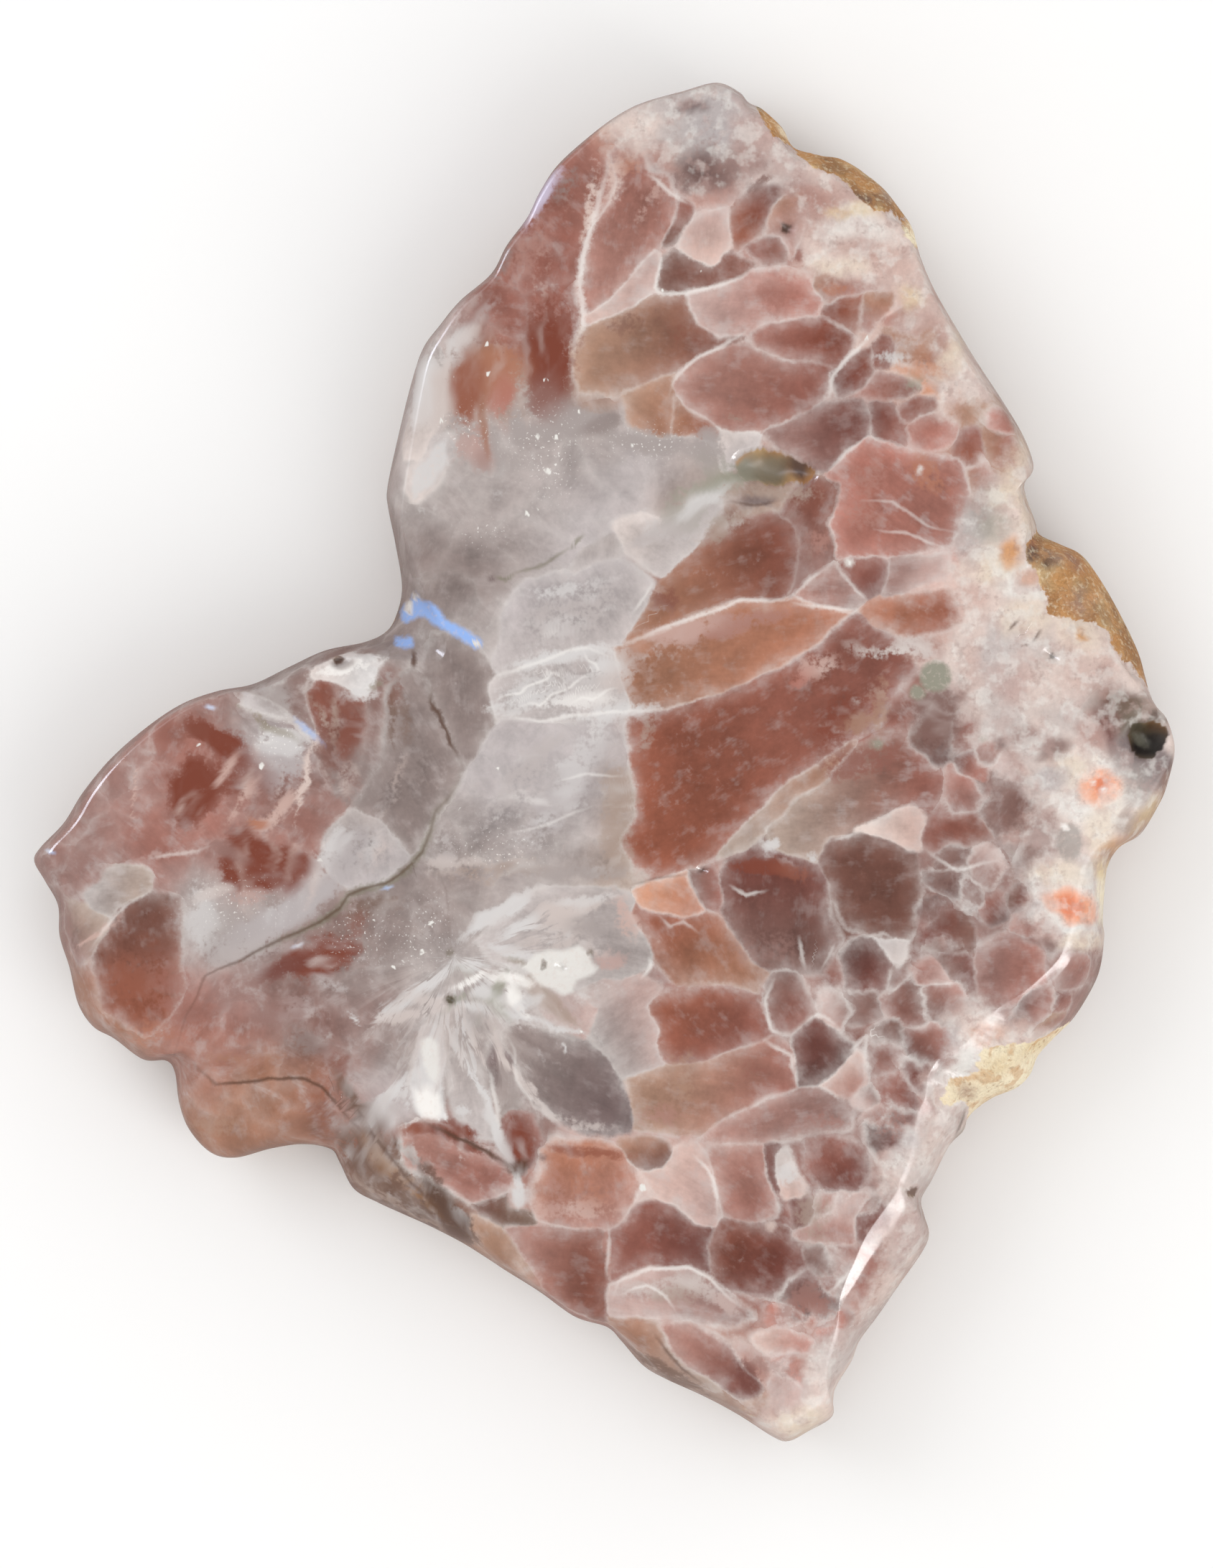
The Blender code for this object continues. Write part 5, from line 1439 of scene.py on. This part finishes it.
def patternNodes(tree, groups):
    # The tones that both materials share: crystals with their borders, veils and seams.
    place = fieldOf(tree, "place")
    grain = useGroup(tree, groups["grain"], {"Place": place})
    shade = fieldOf(tree, "shade")
    crystal = useGroup(tree, groups["crystals"], {
        "Shade": shade, **{name: grain[name] for name in ("Fine A", "Fine B", "Fine C")}})
    depth = scaled(tree, crystal["Depth"], *finish["shadeOfDepth"])
    tone = useGroup(tree, groups["clouded"], {
        "Place": place, **{name: crystal[name] for name in ("Tone", "Turn", "Cloud", "Halo")},
        "Shade": calc(tree, "ADD", split(tree, shade)[0], depth),
        "Fine": grain["Fine B"], "Middle": grain["Middle A"], "Other": grain["Middle B"]})[0]
    uneven = scaled(tree, grain["Middle C"], 1.9, -0.35)
    halo = calc(tree, "MULTIPLY", crystal["Halo"], uneven, clamp=True)
    tone = mixTone(tree, halo, tone, mixTone(tree, finish["haloPale"], tone, "snow"))

    # frosty and coloured veils, broken up by lace
    veil = toneOf(tree, "veil")
    rays = useGroup(tree, groups["rays"], {"Place": place})
    rayMask = split(tree, fieldOf(tree, "rims"))[2]
    lace = calc(tree, "ADD", scaled(tree, grain["Middle C"], 0.5), scaled(tree, grain["Fine B"], 0.5))
    lace = mixValue(tree, scaled(tree, rayMask, 0.9), lace, scaled(tree, rays["Lace"], *finish["rayLace"]))
    frost = calc(tree, "ADD", scaled(tree, veil["Alpha"], 1.15), scaled(tree, lace, *finish["lace"]))
    frost = calc(tree, "MULTIPLY", ease(tree, frost, *finish["frostEdge"]),
                 scaled(tree, veil["Alpha"], 1.1, 0.1), clamp=True)
    tone = mixTone(tree, frost, tone, veil["Color"])

    # borders, wisps and pale seams
    border = calc(tree, "MULTIPLY", crystal["Border"], scaled(tree, frost, -0.5, 1.0))
    border = calc(tree, "MULTIPLY", scaled(tree, border, finish["borderShare"]),
                  scaled(tree, grain["Fine A"], 1.0, 0.25))
    tone = mixTone(tree, border, tone, mixTone(tree, finish["borderPale"], tone, "snow"))
    rayShare = calc(tree, "MULTIPLY", rays["Wisps"], rayMask)
    tone = mixTone(tree, scaled(tree, rayShare, finish["rayShare"]), tone, "milky")
    for name in ("paleSeam0", "paleSeam1"):
        line = seamLine(tree, groups, name, grain["Fine C"])
        tone = mixTone(tree, scaled(tree, line, finish["seamShare"]), tone,
                       mixTone(tree, finish["seamPale"], tone, "snow"))
    return grain, tone, frost


def addShader(tree, tone, roughness, **values):
    inputs = {"Base Color": tone, "Roughness": roughness, "IOR": finish["refraction"], **values}
    shader = addNode(tree, "BsdfPrincipled", inputs)
    addNode(tree, "OutputMaterial", {"Surface": shader.outputs[0]})


def newMaterial(name):
    material = bpy.data.materials.new(name)
    material.use_nodes = True
    material.node_tree.nodes.clear()
    return material, material.node_tree


def polishedMaterial(groups):
    material, tree = newMaterial("amethyst polished")
    grain, tone, frost = patternNodes(tree, groups)
    marks, rims = split(tree, fieldOf(tree, "marks")), split(tree, fieldOf(tree, "rims"))

    # small bright grains inside the stone
    sand = noiseOf(tree, fieldOf(tree, "place"), 1 / 4, 1.0)[0]
    dots = calc(tree, "MULTIPLY", ease(tree, sand, *finish["sandGrain"]), marks[0])
    tone = mixTone(tree, scaled(tree, dots, 0.9), tone, "snow")
    tone = mixTone(tree, ease(tree, marks[1], *finish["fleckEdge"]), tone, "chalk")

    # rind, with a ragged inner border, white clumps and dark grains
    rind = toneOf(tree, "rind")
    ragged = calc(tree, "ADD", scaled(tree, grain["Middle B"], 0.7), scaled(tree, grain["Fine A"], 0.3, -0.5))
    rindShare = ease(tree, calc(tree, "ADD", rind["Alpha"], ragged), *finish["rindEdge"])
    dusk = calc(tree, "ADD", scaled(tree, grain["Middle A"], 0.6), scaled(tree, grain["Fine C"], 0.4))
    rindTone = laid(tree, rind["Color"], (grain["Middle C"], 0.46, 0.66, 0.4, "chalk"),
                    (grain["Middle B"], 0.5, 0.68, 0.35, "petal"), (dusk, 0.54, 0.7, 0.3, "mauve"))
    speckled = scaled(tree, grain["Fine B"], 0.24, 0.88)
    rindTone = addNode(tree, "VectorMath", {0: rindTone, "Scale": speckled}, operation="SCALE").outputs[0]
    tone = mixTone(tree, rindShare, tone, rindTone)

    # open pits, filled with dark tones that are partly painted shade
    crust = toneOf(tree, "crust")
    grit = calc(tree, "ADD", scaled(tree, grain["Fine C"], 0.6), scaled(tree, grain["Middle B"], 0.4))
    pitShare = ease(tree, calc(tree, "ADD", marks[2], scaled(tree, grit, 0.6, -0.3)), *finish["pitEdge"])
    tone = mixTone(tree, scaled(tree, pitShare, 0.92), tone, crust["Color"])

    # olive bands, dark cracks, painted blue reflections and round spots
    olive = seamLine(tree, groups, "oliveSeam", grain["Fine B"])
    tone = mixTone(tree, scaled(tree, olive, 0.8), tone, mixTone(tree, grain["Middle A"], "moss", "lichen"))
    crack = seamLine(tree, groups, "darkSeam", grain["Fine A"])
    tone = mixTone(tree, scaled(tree, crack, finish["crackShare"]), tone, "umber")
    # painted reflections: blue glints of light, broken up towards white by the grain
    glint = seamLine(tree, groups, "glint", grain["Fine C"])
    tone = mixTone(tree, glint, tone, mixTone(tree, grain["Middle B"], "glint", "snow"))
    spotted = toneOf(tree, "spot")
    edge = calc(tree, "ADD", rims[0], scaled(tree, grain["Fine B"], *finish["spotRagged"]))
    spotShare = calc(tree, "MULTIPLY", ease(tree, edge, *finish["spotEdge"]), spotted["Alpha"])
    spotTone = laid(tree, spotted["Color"], (grain["Fine A"], 0.5, 0.75, 0.25, "pearl"))
    tone = mixTone(tree, spotShare, tone, spotTone)

    # crust, and the natural skin low on the edge
    crustShare = calc(tree, "ADD", crust["Alpha"], scaled(tree, grit, 1.2, -0.6))
    crustShare = ease(tree, crustShare, *finish["crustEdge"])
    crustTone = laid(tree, crust["Color"], (grain["Fine A"], 0.5, 0.72, 0.35, "straw"),
                     (grit, 0.44, 0.32, 0.45, "limonite"), (grain["Middle C"], 0.5, 0.66, 0.5, "ochre"))
    tone = mixTone(tree, crustShare, tone, crustTone)
    skinShare = ease(tree, calc(tree, "ADD", rims[1], scaled(tree, grit, 0.8, -0.4)), *finish["skinEdge"])
    skinTone = mixTone(tree, ease(tree, grain["Middle A"], 0.3, 0.7), "taupe", "fawn")
    skinTone = laid(tree, skinTone, (grit, 0.5, 0.6, 0.4, "sand"))
    tone = mixTone(tree, scaled(tree, skinShare, 0.8), tone, skinTone)

    roughness = finish["roughness"]
    rough = scaled(tree, frost, roughness["frost"], roughness["stone"])
    matte = split(tree, fieldOf(tree, "matte"))[0]
    for name, share in (("rind", rindShare), ("matte", matte), ("pit", pitShare), ("crust", crustShare),
                        ("skin", skinShare)):
        rough = mixValue(tree, share, rough, roughness[name])
    lumps = calc(tree, "SUBTRACT", grit, scaled(tree, grain["Cells"], 0.5))
    relief = calc(tree, "MULTIPLY", calc(tree, "MAXIMUM", crust["Alpha"], rims[1]), lumps)
    relief = calc(tree, "SUBTRACT", relief, scaled(tree, crack, finish["crackDepth"]))
    normal = addNode(tree, "Bump", {"Height": relief, "Strength": 1.0, "Distance": finish["bump"]}).outputs[0]
    addShader(tree, tone, rough, Normal=normal)
    return material


def sawnMaterial(groups):
    material, tree = newMaterial("amethyst sawn")
    tone = patternNodes(tree, groups)[1]
    addShader(tree, mixTone(tree, finish["sawnPale"], tone, "shell"), finish["roughness"]["sawn"])
    return material


def buildGroups():
    nearer = nearerCrystalGroup()
    return {"grain": grainGroup(), "crystals": crystalGroup(nearer), "seam": seamGroup(),
            "clouded": cloudedGroup(), "rays": raysGroup()}


groups = buildGroups()
stone = bpy.data.objects.new("amethyst_slice_stone", makeSlab())
bpy.context.scene.collection.objects.link(stone)
stone.data.materials.append(polishedMaterial(groups))
stone.data.materials.append(sawnMaterial(groups))
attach(stone, "root")
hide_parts("amethyst_slice")
print("slab made:", len(stone.data.polygons), "faces")

studio = {
    "lens": 200,
    "frameHeight": 0.1438,
    "middle": (0.00026, -0.00197, 0.013),
    "sky": 0.86,
    "skyTone": (1.0, 0.995, 0.985, 1.0),
    # The polish mirrors a brighter band low down and a dim zenith, so that the face stays clear.
    "band": 0.22,
    "zenith": 0.04,
    "skyFade": (0.95, 0.6),
    # Azimuth and lift in degrees, distance, width, height, watts, tone, and whether only the polish shows it.
    "lights": [
        ("right", -45, 48, 0.9, 0.5, 0.7, 1.6, (1.0, 0.98, 0.96), False),
        ("left", 150, 45, 0.9, 0.6, 0.6, 1.6, (0.96, 0.98, 1.0), False),
        ("right edge", -32, 48, 0.9, 0.16, 0.8, 5.0, (1.0, 1.0, 1.0), True),
        ("left edge", 150, 40, 0.9, 0.16, 0.6, 4.0, (0.8, 0.85, 1.0), True),
    ],
    "sensor": 36,
    "floorHalf": 3.0,
    "floorHeight": -0.00001,
    "floorTone": (0.93, 0.93, 0.93, 1),
    "floorMirrored": (0.36, 0.29, 0.27, 1),  # what the polished edge shows of the floor
    "floorRoughness": 0.9,
}


def addLight(name, azimuth, lift, distance, width, height, power, tone, mirroredOnly):
    lamp = bpy.data.lights.new(name, "AREA")
    lamp.shape, lamp.size, lamp.size_y, lamp.energy = "RECTANGLE", width, height, power
    lamp.color = tone
    stand = bpy.data.objects.new(name, lamp)
    stand.visible_diffuse = not mirroredOnly
    a, b = np.radians(azimuth), np.radians(lift)
    toward = Vector((np.cos(a) * np.cos(b), np.sin(a) * np.cos(b), np.sin(b)))
    stand.location = toward * distance
    stand.rotation_euler = toward.to_track_quat("Z", "Y").to_euler()
    bpy.context.scene.collection.objects.link(stand)


def makeStudio():
    scene = bpy.context.scene
    scene.view_settings.view_transform = "Standard"
    world = bpy.data.worlds.new("studio")
    world.use_nodes = True
    tree = world.node_tree
    height = split(tree, addNode(tree, "TexCoord").outputs["Generated"])[2]
    band = scaled(tree, ease(tree, height, *studio["skyFade"]), studio["band"], studio["zenith"])
    mirrored = addNode(tree, "LightPath").outputs["Is Glossy Ray"]
    glow = mixValue(tree, mirrored, studio["sky"], band)
    tree.nodes["Background"].inputs["Color"].default_value = studio["skyTone"]
    tree.links.new(glow, tree.nodes["Background"].inputs["Strength"])
    scene.world = world
    for light in studio["lights"]:
        addLight(*light)
    floor = bpy.data.meshes.new("floor")
    half, low = studio["floorHalf"], studio["floorHeight"]
    floor.from_pydata([(-half, -half, low), (half, -half, low), (half, half, low), (-half, half, low)], [],
                      [(0, 1, 2, 3)])
    material, tree = newMaterial("pale floor")
    mirrored = addNode(tree, "LightPath").outputs["Is Glossy Ray"]
    addShader(tree, mixTone(tree, mirrored, studio["floorTone"], studio["floorMirrored"]),
              studio["floorRoughness"])
    floor.materials.append(material)
    table = bpy.data.objects.new("floor", floor)
    scene.collection.objects.link(table)
    table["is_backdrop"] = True
    lens = bpy.data.cameras.new("camera")
    lens.lens, lens.sensor_width, lens.sensor_fit = studio["lens"], studio["sensor"], "AUTO"
    camera = bpy.data.objects.new("camera", lens)
    distance = studio["frameHeight"] * studio["lens"] / studio["sensor"]
    camera.location = Vector(studio["middle"]) + Vector((0, 0, distance))
    scene.collection.objects.link(camera)
    scene.camera = camera
    print("studio made:", len(studio["lights"]), "lights")


makeStudio()
